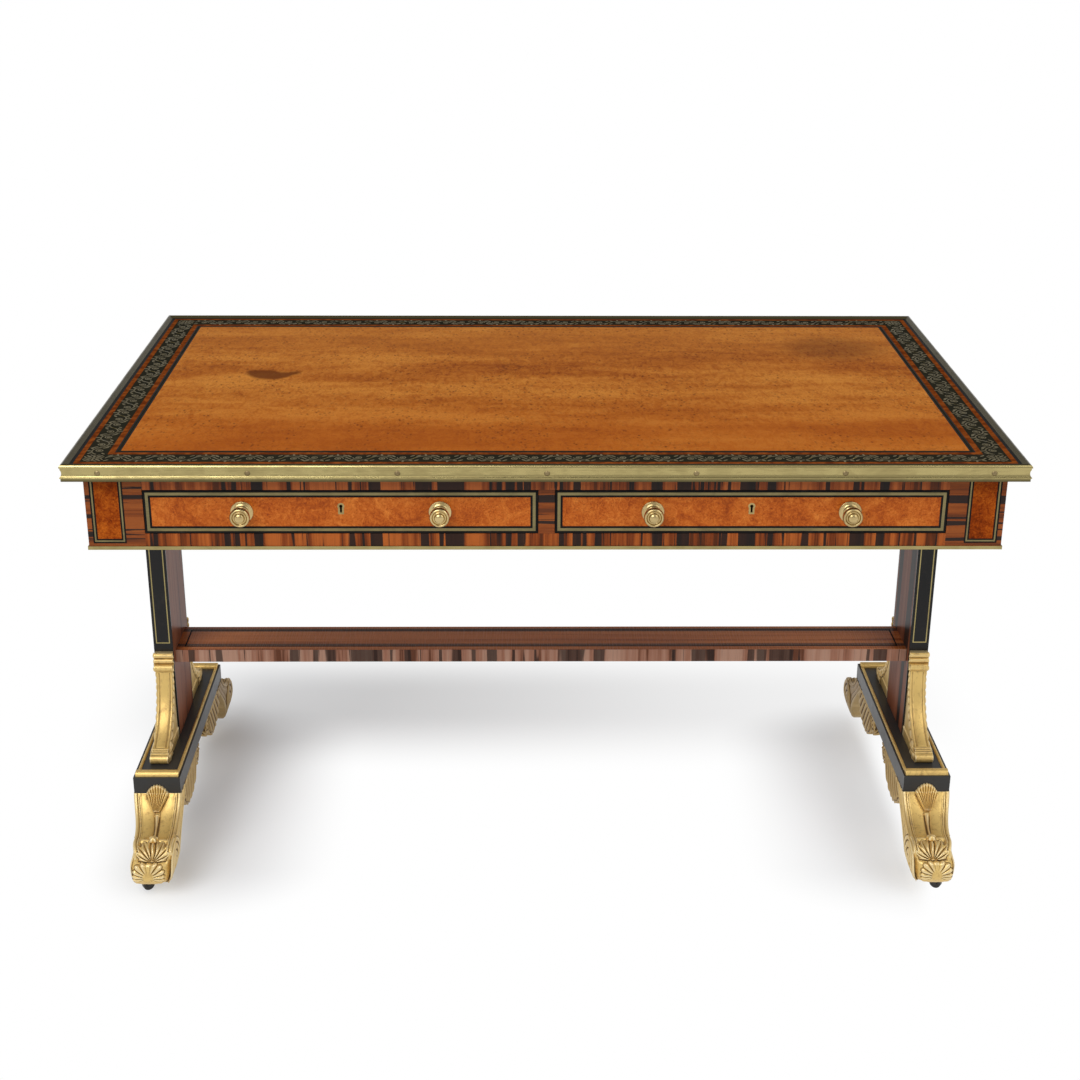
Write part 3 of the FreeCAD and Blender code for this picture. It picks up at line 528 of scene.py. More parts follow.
@dataclass(frozen=True)
class StreakedVeneer(Finish):
    """Red-brown veneer barred with black streaks that follow one another along an axis."""

    name: str
    axis: Axis
    bar_scale: float = 44.0
    black_share: float = 0.555
    black_depth: float = 0.95
    red: Colour = tint(0.255, 0.056, 0.013)
    tan: Colour = tint(0.37, 0.100, 0.027)
    brown: Colour = tint(0.105, 0.029, 0.010)
    black: Colour = tint(0.014, 0.011, 0.010)
    stretch: float = 0.03
    broad: Grain = Grain(1.0, 1.5, 0.6, 0.2)
    thin: Grain = Grain(3.0, 2.0, 0.6, 0.2)
    bands: Grain = Grain(1.4, 3.0, 0.65, 0.2)
    hairs: Grain = Grain(17.0, 3.0, 0.7)
    thin_move: Triple = (3.1, 1.7, 2.3)
    thin_limits: Pair = (0.055, 0.085)
    wide_soft: float = 0.02
    band_move: Triple = (7.3, 5.1, 6.2)
    tan_step: Step = Step(0.42, 0.60)
    brown_step: Step = Step(0.44, 0.36, 0.85)
    hair_step: Step = Step(0.50, 0.80, 0.40)
    gloss: float = 0.20
    hair_gloss: float = 0.10
    shine: float = 0.14
    relief: float = 0.00004

    def streaks(self, graph: Graph, grain: Grain, move: Triple = (0.0, 0.0, 0.0)) -> Wire:
        """Noise drawn out across the axis.

        Args:
            graph: Graph to add to.
            grain: The noise, its scale a share of the bars' own.
            move: How far it is moved.

        Returns:
            The noise from 0 to 1.
        """
        squeeze = [self.stretch] * 3
        squeeze[self.axis.value] = 1.0
        return graph.noise(graph.place(squeeze, move), replace(grain, scale=grain.scale * self.bar_scale))

    def figure(self, graph: Graph) -> Tuple[Wire, Wire]:
        """Colour of the streaks.

        Args:
            graph: Graph to add to.

        Returns:
            The colour, and the fine fibres for the bump.
        """
        broad = self.streaks(graph, self.broad)
        bars = self.streaks(graph, self.thin, self.thin_move)
        bands = self.streaks(graph, self.bands, self.band_move)
        hairs = self.streaks(graph, self.hairs)
        colour = graph.mix(graph.step(bands, self.tan_step), self.red, self.tan)
        colour = graph.mix(graph.step(bands, self.brown_step), colour, self.brown)
        share = self.black_share
        wide = graph.step(broad, Step(share, share + self.wide_soft, self.black_depth))
        low, high = self.thin_limits
        thin = graph.step(bars, Step(share + low, share + high, self.black_depth))
        colour = graph.mix(wide.most(thin), colour, self.black)
        colour = graph.mix(graph.step(hairs, self.hair_step), colour, self.black)
        return colour, hairs

    def coat(self, graph: Graph, colour: Wire, hairs: Wire) -> None:
        """Polish the veneer.

        Args:
            graph: Graph to add to.
            colour: Its colour.
            hairs: Its fine fibres.
        """
        graph.surface(Base_Color=colour, Roughness=self.gloss + hairs * self.hair_gloss,
                      Specular_IOR_Level=self.shine, Normal=graph.bump(hairs, self.relief))

    def paint(self, graph: Graph) -> None:
        """Paint the streaks and polish them."""
        self.coat(graph, *self.figure(graph))


@dataclass(frozen=True)
class BandedBoard(Finish):
    """Board veneered lengthwise, with dark strips, on its flat faces and crosswise on its edges."""

    name: str
    edge: StreakedVeneer
    flat: StreakedVeneer
    strips: Tuple[Pair, ...]
    strip: Colour = tint(0.070, 0.045, 0.030)
    strip_step: Step = Step(1.3, 0.8, 0.85)
    flat_step: Step = Step(0.6, 0.8)

    def paint(self, graph: Graph) -> None:
        """Paint edges and flat faces and polish them as the edges are.

        Args:
            graph: Graph to add to.
        """
        edge_colour, hairs = self.edge.figure(graph)
        flat_colour, _ = self.flat.figure(graph)
        _, y, _ = graph.axes()
        for middle, half in self.strips:
            inside = graph.step(abs(y - middle) * (1 / half), self.strip_step)
            flat_colour = graph.mix(inside, flat_colour, self.strip)
        flatness = graph.step(abs(graph.upward()), self.flat_step)
        self.edge.coat(graph, graph.mix(flatness, edge_colour, flat_colour), hairs)


@dataclass(frozen=True)
class PlainVeneer(Finish):
    """Quiet wood: banding of the top, or the oiled boards inside the table."""

    name: str
    light: Colour
    dark: Colour
    scale: Triple = (9.0, 140.0, 140.0)
    grain: Grain = Grain(1.0, 5.0, 0.62, 0.5)
    drift: Grain = Grain(11.0)
    grain_step: Step = Step(0.34, 0.70)
    drift_step: Step = Step(0.45, 0.75, 0.35)
    gloss: float = 0.28
    grain_gloss: float = 0.14
    shine: float = 0.1
    relief: float = 0.00006

    def paint(self, graph: Graph) -> None:
        """Paint the grain and its darker patches.

        Args:
            graph: Graph to add to.
        """
        grain = graph.noise(graph.place(self.scale), self.grain)
        drift = graph.noise(graph.place(), self.drift)
        colour = graph.mix(graph.step(grain, self.grain_step), self.dark, self.light)
        colour = graph.mix(graph.step(drift, self.drift_step), colour, self.dark)
        graph.surface(Base_Color=colour, Roughness=self.gloss + grain * self.grain_gloss,
                      Specular_IOR_Level=self.shine, Normal=graph.bump(grain, self.relief))


@dataclass(frozen=True)
class BlackPolish(Finish):
    """Polished black: ebony lines and ebonised plinths, faintly rubbed."""

    name: str
    black: Colour = tint(0.012, 0.0115, 0.011)
    rubbed: Colour = tint(0.040, 0.035, 0.030)
    pore_scale: Triple = (40.0, 500.0, 500.0)
    pores: Grain = Grain(1.0)
    wear: Grain = Grain(34.0, 5.0, 0.65)
    wear_step: Step = Step(0.52, 0.78, 0.7)
    gloss: float = 0.24
    wear_gloss: float = 0.16
    shine: float = 0.4
    relief: float = 0.00003

    def paint(self, graph: Graph) -> None:
        """Paint the black and its rubbed places.

        Args:
            graph: Graph to add to.
        """
        pores = graph.noise(graph.place(self.pore_scale), self.pores)
        wear = graph.noise(graph.place(), self.wear)
        colour = graph.mix(graph.step(wear, self.wear_step), self.black, self.rubbed)
        graph.surface(Base_Color=colour, Roughness=self.gloss + wear * self.wear_gloss,
                      Specular_IOR_Level=self.shine, Normal=graph.bump(pores, self.relief))


@dataclass(frozen=True)
class AgedMetal(Finish):
    """Worked metal with rubbed and dulled patches; where asked, painted shade darkens it low down and on the
    faces that look up.
    """

    name: str
    bright: Colour
    dull: Colour
    draw: Triple = (6.0, 6.0, 60.0)
    patch: Grain = Grain(19.0, 5.0, 0.65, 0.6)
    marks: Grain = Grain(9.0, 4.0, 0.7)
    patch_share: float = 0.6
    dull_step: Step = Step(0.40, 0.66, 0.55)
    # Painted shade: where set, the metal darkens towards the bottom and on up-facing faces.
    low_shade_step: Optional[Step] = None
    painted_shade: Colour = tint(0.060, 0.050, 0.024)
    top_shade_step: Step = Step(0.70, 0.88, 0.96)
    metal: float = 1.0
    gloss: float = 0.24
    dull_gloss: float = 0.24
    relief: float = 0.00005

    def paint(self, graph: Graph) -> None:
        """Paint the metal, and its painted shade low down and on top where it has it.

        Args:
            graph: Graph to add to.
        """
        patch = graph.noise(graph.place(), self.patch)
        marks = graph.noise(graph.place(self.draw), self.marks)
        aged = patch * self.patch_share + marks * (1 - self.patch_share)
        dull = graph.step(aged, self.dull_step)
        colour = graph.mix(dull, self.bright, self.dull)
        # Painted shade towards the bottom and on the faces that look up.
        if self.low_shade_step:
            _, _, height = graph.axes()
            colour = graph.mix(graph.step(height, self.low_shade_step), colour, self.painted_shade)
            colour = graph.mix(graph.step(graph.upward(), self.top_shade_step), colour, self.painted_shade)
        graph.surface(Base_Color=colour, Metallic=self.metal, Roughness=self.gloss + dull * self.dull_gloss,
                      Normal=graph.bump(marks, self.relief))


@dataclass(frozen=True)
class Gilding(Finish):
    """Burnished leaf over carved wood, with a painted highlight on the ridges and brown in the hollows,
    partly their real toning and partly painted shade.
    """

    name: str = "gilding"
    gold: Colour = tint(0.76, 0.525, 0.175)
    # Pale tone of the painted highlight on the ridges.
    rubbed: Colour = tint(0.92, 0.75, 0.43)
    # Brown of the hollows: their real toning together with painted shade.
    hollow: Colour = tint(0.115, 0.056, 0.018)
    bole: Colour = tint(0.30, 0.155, 0.048)
    wear: Grain = Grain(48.0, 5.0, 0.68, 0.6)
    rub_scale: Triple = (1.0, 1.0, 0.25)
    rubs: Grain = Grain(210.0, 4.0, 0.65)
    dust: Grain = Grain(420.0, 3.0, 0.6)
    wear_step: Step = Step(0.52, 0.74, 0.60)
    rub_step: Step = Step(0.52, 0.74, 0.50)
    stray: float = 0.30
    deep_step: Step = Step(0.03, 0.36)
    hollow_toning_and_shade_share: float = 0.90
    ridge_highlight_step: Step = Step(-0.03, -0.34, 0.75)
    metal: float = 0.62
    deep_metal: float = -0.35
    gloss: float = 0.37
    deep_gloss: float = 0.24
    wear_gloss: float = 0.14
    relief: float = 0.00005

    def paint(self, graph: Graph) -> None:
        """Paint the leaf by the depth of the carving: a painted highlight on the ridges, and brown toning
        with painted shade in the hollows.

        Args:
            graph: Graph to add to.
        """
        cavity = graph.node("ShaderNodeAttribute", {"attribute_name": "hollow"}, output="Fac")
        wear = graph.noise(graph.place(), self.wear)
        rubs = graph.noise(graph.place(self.rub_scale), self.rubs)
        dust = graph.noise(graph.place(), self.dust)
        deep = graph.step(cavity + (wear - 0.5) * self.stray, self.deep_step)
        colour = graph.mix(graph.step(wear, self.wear_step), self.gold, self.bole)
        colour = graph.mix(graph.step(rubs, self.rub_step), colour, self.bole)
        # Painted highlight on the ridges.
        colour = graph.mix(graph.step(cavity, self.ridge_highlight_step), colour, self.rubbed)
        # Brown in the hollows: real toning together with painted shade.
        colour = graph.mix(deep * self.hollow_toning_and_shade_share, colour, self.hollow)
        rough = self.gloss + deep * self.deep_gloss + wear * self.wear_gloss
        graph.surface(Base_Color=colour, Metallic=self.metal + deep * self.deep_metal, Roughness=rough,
                      Normal=graph.bump(dust, self.relief))


class Outline:
    """An open line of straight and round stretches in the side plane, out from the middle and up."""

    def __init__(self, start: Pair) -> None:
        """Begin at a point."""
        self.points: List[Vector] = [Vector(start)]

    def line_to(self, end: Pair) -> "Outline":
        """Add a straight stretch."""
        self.points.append(Vector(end))
        return self

    def arc_to(self, middle: Pair, end: Pair, steps: int = 24) -> "Outline":
        """Add a round stretch.

        Args:
            middle: A point that the arc passes.
            end: Where it ends.
            steps: Chords to draw it with.

        Returns:
            The outline itself.
        """
        first, second, third = self.points[-1], Vector(middle), Vector(end)
        one, two = second - first, third - first
        cross = 2 * (one.x * two.y - one.y * two.x)
        centre = first + Vector((two.y * one.length_squared - one.y * two.length_squared,
                                 one.x * two.length_squared - two.x * one.length_squared)) / cross
        spoke = first - centre
        sweep = spoke.angle_signed(third - centre)
        if (spoke.angle_signed(second - centre) > 0) != (sweep > 0):
            sweep -= math.copysign(2 * math.pi, sweep)
        for step in range(1, steps + 1):
            turn = Matrix.Rotation(-sweep * step / steps, 2)
            self.points.append(centre + turn @ spoke)
        return self

    def length(self) -> float:
        """Whole length of the line."""
        return sum((b - a).length for a, b in zip(self.points, self.points[1:]))

    def spaced(self, count: int) -> List[Vector]:
        """Points at even steps of length.

        Args:
            count: Number of steps.

        Returns:
            One more point than steps.
        """
        step = self.length() / count
        found = [self.points[0].copy()]
        walked = 0.0
        for start, end in zip(self.points, self.points[1:]):
            span = (end - start).length
            while len(found) <= count and walked + span >= step * len(found) - SLACK:
                share = (step * len(found) - walked) / span
                found.append(start.lerp(end, share))
            walked += span
        while len(found) <= count:
            found.append(self.points[-1].copy())
        return found


@dataclass
class Carving:
    """A scroll carved on its front and both sides, between a front line and a back line."""

    front: Outline
    back: Outline
    sides: Callable[[float], Pair]
    front_relief: Relief
    side_relief: SideRelief
    rows: int
    front_columns: int
    side_columns: int
    back_columns: int = 2
    side_edges: Span = Span(0.0, 1.0, 0.04)

    def skin(self) -> BMesh:
        """Wrap a grid round the scroll and raise its relief.

        Returns:
            A closed mesh of a piece on the right of the table, facing its front, in millimetres.
        """
        shape = bmesh.new()
        ring = self.front_columns + 2 * self.side_columns + self.back_columns
        bmesh.ops.create_grid(shape, x_segments=ring, y_segments=self.rows, size=0.5)
        self.fronts = self.front.spaced(self.rows)
        self.backs = self.back.spaced(self.rows)
        self.step = self.front.length() / self.rows
        for vert in shape.verts:
            row = round((vert.co.y + 0.5) * self.rows)
            column = round((vert.co.x + 0.5) * ring) % ring
            vert.co = self.stand(row, column)
        bmesh.ops.remove_doubles(shape, verts=shape.verts, dist=WELD)
        open_edges = [edge for edge in shape.edges if edge.is_boundary]
        bmesh.ops.holes_fill(shape, edges=open_edges, sides=0)
        return shape

    def stand(self, row: int, column: int) -> Vector:
        """Place of one point of the skin.

        Args:
            row: Step down the scroll.
            column: Step round it, across the front, back along the outer side and round again.

        Returns:
            The point in millimetres.
        """
        front, back = self.fronts[row], self.backs[row]
        outer_end = self.front_columns + self.side_columns
        inner_start = outer_end + self.back_columns
        if column <= self.front_columns:
            ahead = self.fronts[min(row + 1, self.rows)] - self.fronts[max(row - 1, 0)]
            normal = Vector((-ahead.y, ahead.x)).normalized()
            inner, outer = self.sides(front.y)
            x = inner + (outer - inner) * column / self.front_columns
            spot = front + normal * self.front_relief(x - (inner + outer) / 2, row * self.step)
            return Vector((x, -spot.x, spot.y))
        if outer_end < column < inner_start:
            return Vector((sum(self.sides(back.y)) / 2, -back.x, back.y))
        if column <= outer_end:
            depth = (column - self.front_columns) / self.side_columns
            side = 1
        else:
            depth = 1 - (column - inner_start) / self.side_columns
            side = -1
        spot = front.lerp(back, depth)
        edge = self.sides(spot.y)[0 if side < 0 else 1]
        lift = self.side_relief(spot, depth) * self.side_edges.at(depth)
        return Vector((edge + side * lift, -spot.x, spot.y))


def mark_hollows(mesh: bpy.types.Mesh, reach: int) -> None:
    """Store how far each point lies below the smoothed surface, in millimetres.

    Args:
        mesh: Mesh in metres.
        reach: Rounds of smoothing.
    """
    shape = bmesh.new()
    shape.from_mesh(mesh)
    start = [vert.co.copy() for vert in shape.verts]
    normals = [vert.normal.copy() for vert in shape.verts]
    for _ in range(reach):
        bmesh.ops.smooth_vert(shape, verts=shape.verts, factor=SMOOTHING, use_axis_x=True,
                              use_axis_y=True, use_axis_z=True)
    depth = mesh.attributes.new("hollow", "FLOAT", "POINT")
    for vert, before, normal in zip(shape.verts, start, normals):
        depth.data[vert.index].value = (vert.co - before).dot(normal) / MM
    shape.free()


def add_piece(name: str, shape: BMesh, finish: Finish, body: str,
              replaced: Sequence[str] = (), crease: float = 42.0, hollows: int = 0) -> None:
    """Turn a shape in millimetres into a finished piece of the table.

    Args:
        name: Piece name.
        shape: Mesh to use up.
        finish: Its finish.
        body: Body that it moves with.
        replaced: Nodes that it stands for.
        crease: Angle in degrees from which an edge stays sharp.
        hollows: Rounds of smoothing to find the hollows for the gilding, or 0.
    """
    bmesh.ops.remove_doubles(shape, verts=shape.verts, dist=WELD)
    bmesh.ops.recalc_face_normals(shape, faces=shape.faces)
    bmesh.ops.scale(shape, vec=(MM, MM, MM), verts=shape.verts)
    mesh = bpy.data.meshes.new(name)
    shape.to_mesh(mesh)
    shape.free()
    mesh.shade_smooth()
    mesh.set_sharp_from_angle(angle=math.radians(crease))
    mesh.materials.append(finish.build())
    if hollows:
        mark_hollows(mesh, hollows)
    piece = bpy.data.objects.new(name, mesh)
    bpy.context.scene.collection.objects.link(piece)
    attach(piece, body)
    if replaced:
        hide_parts(*replaced)
    LOG.info("%s: %d faces on %s", name, len(mesh.polygons), body)


def dress(nodes: Sequence[str], finish: Finish) -> None:
    """Give solids of the frame a finish.

    Args:
        nodes: Their names.
        finish: The finish.
    """
    for node in nodes:
        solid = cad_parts[node]
        if not solid.material_slots:
            solid.data.materials.append(finish.build())
        for place in solid.material_slots:
            place.material = finish.build()
        LOG.info("%s dressed in %s", node, finish.name)


def set_at_corners(name: str, shape: BMesh, front: Finish, back: Finish, replaced: Sequence[str],
                   crease: float, hollows: int) -> None:
    """Set copies of a gilt front right shape at the four corners of the table.

    Args:
        name: Start of the pieces' names.
        shape: Shape to use up.
        front: Finish of the two front copies.
        back: Finish of the two back copies.
        replaced: Nodes that they stand for.
        crease: Angle in degrees from which an edge stays sharp.
        hollows: Rounds of smoothing to find the hollows.
    """
    for corner, (side, facing) in CORNERS.items():
        copy = shape.copy()
        bmesh.ops.scale(copy, vec=(side, facing, 1), verts=copy.verts)
        gilt = front if facing > 0 else back
        add_piece(name + corner, copy, gilt, "frame", replaced, crease, hollows)
    shape.free()


def join(shape: BMesh, other: BMesh) -> None:
    """Add another shape's faces to a shape.

    Args:
        shape: Shape to add to.
        other: Shape to use up.
    """
    mesh = bpy.data.meshes.new("joining")
    other.to_mesh(mesh)
    other.free()
    shape.from_mesh(mesh)
    bpy.data.meshes.remove(mesh)


def lathe(shape: BMesh, line: Outline, place: Vector, front: int, turns: int) -> None:
    """Turn an outline of radius and reach about a line through a face.

    Args:
        shape: Mesh to add to.
        line: Half outline, its reach measured out from the face.
        place: Point of the face on the axis.
        front: 1 on the front, -1 on the back.
        turns: Steps of the whole turn.
    """
    points = [Vector((radius, -out * front, 0)) + place for radius, out in line.points]
    verts = [shape.verts.new(point) for point in points]
    edges = [shape.edges.new(pair) for pair in zip(verts, verts[1:])]
    bmesh.ops.spin(shape, geom=verts + edges, cent=place, axis=(0, 1, 0), dvec=(0, 0, 0),
                   angle=2 * math.pi, steps=turns, use_merge=True)


def repeat(shape: BMesh, pattern: BMesh, places: Sequence[Matrix]) -> None:
    """Add copies of a pattern to a shape.

    Args:
        shape: Mesh to add to.
        pattern: Shape to copy, used up.
        places: Place of each copy.
    """
    for place in places:
        copy = pattern.copy()
        bmesh.ops.transform(copy, matrix=place, verts=copy.verts)
        join(shape, copy)
    pattern.free()


class Finishes:
    """Every finish of the table."""

    # Veneers and plain boards.
    field = FieldVeneer()
    burr = BurrVeneer()
    corner_burr = BurrVeneer(
        "corner_panel", warm=tint(0.255, 0.040, 0.0026), pale=tint(0.50, 0.115, 0.0095),
        deep=tint(0.100, 0.013, 0.0012), fleck=tint(0.035, 0.006, 0.0010), shine=0.04)
    rail = StreakedVeneer(
        "rail_banding", Axis.X, black_share=0.535, red=tint(0.235, 0.050, 0.011),
        tan=tint(0.46, 0.120, 0.028), brown=tint(0.080, 0.022, 0.008))
    low_rail = StreakedVeneer(
        "low_rail_banding", Axis.X, black_share=0.535, red=tint(0.20, 0.041, 0.008),
        tan=tint(0.42, 0.105, 0.019), brown=tint(0.070, 0.019, 0.006), shine=0.10)
    end_rail = StreakedVeneer("end_banding", Axis.Y)
    stile = StreakedVeneer(
        "stile_banding", Axis.Z, bar_scale=70.0, black_share=0.56, red=tint(0.20, 0.046, 0.009),
        tan=tint(0.29, 0.076, 0.015))
    upright = StreakedVeneer(
        "upright_veneer", Axis.Y, bar_scale=22.0, black_share=0.60, red=tint(0.20, 0.060, 0.024),
        tan=tint(0.28, 0.100, 0.048), gloss=0.30, shine=0.04)
    lengthwise = StreakedVeneer(
        "stretcher_top", Axis.Y, bar_scale=60.0, black_share=0.74, stretch=0.02,
        red=tint(0.50, 0.150, 0.036), tan=tint(0.62, 0.215, 0.062), brown=tint(0.33, 0.092, 0.024))
    crosswise = StreakedVeneer(
        "stretcher_edge", Axis.X, bar_scale=34.0, black_share=0.565, black_depth=0.78,
        red=tint(0.37, 0.165, 0.102), tan=tint(0.50, 0.285, 0.200), gloss=0.22, shine=0.12)
    stretcher = BandedBoard(
        "stretcher_veneer", crosswise, lengthwise, strips=((0.031, 0.0055), (-0.0265, 0.005)))
    crossband = PlainVeneer(
        "crossbanding", tint(0.29, 0.074, 0.013), tint(0.12, 0.024, 0.005), scale=(70.0, 70.0, 70.0),
        shine=0.0)
    carcase = PlainVeneer("carcase_wood", tint(0.25, 0.105, 0.05), tint(0.12, 0.042, 0.018), gloss=0.45)
    # Black polishes.
    ebony = BlackPolish("ebony_line", shine=0.01)
    facing = BlackPolish("ebony_facing", black=tint(0.018, 0.0175, 0.017), shine=0.15)
    ground = BlackPolish(
        "marquetry_ground", black=tint(0.021, 0.020, 0.013), rubbed=tint(0.050, 0.043, 0.026), gloss=0.3,
        shine=0.0)
    ebonised = BlackPolish("ebonised_wood", black=tint(0.036, 0.035, 0.033), shine=0.24)
    # Metals and gilding.
    brass = AgedMetal("aged_brass", tint(0.40, 0.325, 0.14), tint(0.22, 0.17, 0.07))
    # The edge's lower moulding and its up-facing lip get painted shade.
    edge = AgedMetal(
        "edge_brass", tint(0.47, 0.385, 0.165), tint(0.27, 0.21, 0.088),
        low_shade_step=Step(0.7180, 0.7118, 0.85))
    knob = AgedMetal("knob_brass", tint(0.60, 0.455, 0.215), tint(0.32, 0.22, 0.085))
    pin = AgedMetal("pin_brass", tint(0.30, 0.23, 0.115), tint(0.13, 0.09, 0.045), gloss=0.36)
    inlay = AgedMetal(
        "inlaid_brass", tint(0.24, 0.195, 0.085), tint(0.10, 0.085, 0.04), gloss=0.32, metal=0.7)
    scroll = AgedMetal(
        "marquetry_brass", tint(0.17, 0.130, 0.046), tint(0.075, 0.058, 0.022), gloss=0.36, metal=0.6)
    lock = AgedMetal("lock_brass", tint(0.50, 0.38, 0.16), tint(0.16, 0.11, 0.045), gloss=0.30)
    steel = AgedMetal("bolt_steel", tint(0.55, 0.55, 0.54), tint(0.25, 0.24, 0.22))
    iron = AgedMetal(
        "castor_iron", tint(0.050, 0.046, 0.042), tint(0.018, 0.016, 0.014), gloss=0.42, metal=0.6)
    gilt = Gilding()
    # A darker copy of the gilding, painted shade for the back feet, their shells and the leaf scrolls.
    shaded_gilt = Gilding(
        "shaded_gilding", gold=tint(0.31, 0.185, 0.052), rubbed=tint(0.56, 0.395, 0.165),
        hollow=tint(0.070, 0.032, 0.010), bole=tint(0.15, 0.070, 0.020))


class Assembly:
    """A sub-assembly of the table."""

    def build(self) -> None:
        """Add the meshes that its solids lack; it may need none."""

    def dress(self) -> None:
        """Give its solids their finishes; its meshes may replace them all."""


@dataclass
class TurnedKnob:
    """A turned brass knob: flange, neck, swelling body, raised ring and button."""

    shank: float = 3.0
    foot: float = 14.9
    flange: Tuple[Arc, ...] = (((15.5, 1.1), (14.8, 2.2), 8), ((12.1, 2.8), (10.5, 3.9), 8))
    neck: Tuple[Arc, ...] = (((6.7, 5.8), (6.0, 8.4), 10), ((7.4, 12.0), (10.8, 15.4), 10))
    body: Tuple[Arc, ...] = (((13.0, 17.6), (13.3, 20.4), 10), ((13.1, 24.0), (11.7, 25.6), 8))
    ring: Tuple[Arc, ...] = (((10.6, 25.6), (9.8, 24.2), 8), ((8.3, 23.2), (6.6, 24.3), 8))
    button: Tuple[Arc, ...] = (((6.4, 26.4), (4.9, 27.8), 8), ((2.6, 28.8), (0.0, 29.0), 8))
    nut: float = 12.0
    nut_thick: float = 4.0
    nut_chamfer: float = 0.8
    turns: int = 56

    def profile(self, grip: float) -> Outline:
        """Half outline from the shank's end to the button's middle.

        Args:
            grip: Depth of wood that the shank goes through.

        Returns:
            Radius and distance out from the face.
        """
        line = Outline((0.0, -grip)).line_to((self.shank, -grip)).line_to((self.shank, 0.0))
        line.line_to((self.foot, 0.0))
        for arc in self.flange + self.neck + self.body + self.ring + self.button:
            line.arc_to(*arc)
        return line

    def fasten(self, shape: BMesh, place: Vector, grip: float, front: int) -> None:
        """Add the square nut behind the wood.

        Args:
            shape: Mesh to add to.
            place: Middle of the knob's flange.
            grip: Depth of wood in front of the nut.
            front: 1 on the front, -1 on the back.
        """
        centre = place + Vector((0, front * (grip + self.nut_thick / 2), 0))
        spread = Matrix.Translation(centre) @ Matrix.Diagonal((self.nut, self.nut_thick, self.nut, 1))
        made = bmesh.ops.create_cube(shape, size=1.0, matrix=spread)
        edges = list({edge for vert in made["verts"] for edge in vert.link_edges})
        bmesh.ops.bevel(shape, geom=edges, offset=self.nut_chamfer, affect="EDGES", segments=2, profile=0.5,
                        material=-1)


@dataclass
class LineFrame:
    """A strip of brass let into the middle of a black line round a panel."""

    half_long: float
    half_high: float
    line: float
    strip: float
    thick: float = 0.5
    proud: float = 0.12

    def lay(self, shape: BMesh, facing: Matrix) -> None:
        """Cut the strip out of a sheet and set it in a face.

        Args:
            shape: Mesh to add to.
            facing: Place of the panel's middle, its Z axis out of the face.
        """
        inset = (self.line - self.strip) / 2
        lift = Matrix.Translation((0, 0, self.proud))
        sheet = facing @ lift @ Matrix.Diagonal((self.half_long - inset, self.half_high - inset, 1, 1))
        made = bmesh.ops.create_grid(shape, x_segments=1, y_segments=1, size=1.0, matrix=sheet)
        face = made["verts"][0].link_faces[0]
        rim = bmesh.ops.inset_region(shape, faces=[face], thickness=self.strip, use_boundary=True,
                                      use_even_offset=True)["faces"]
        bmesh.ops.delete(shape, geom=[face], context="FACES")
        raised = bmesh.ops.extrude_face_region(shape, geom=rim)["geom"]
        moved = [item for item in raised if isinstance(item, BMVert)]
        bmesh.ops.translate(shape, vec=facing.to_3x3() @ Vector((0, 0, -self.thick)), verts=moved)


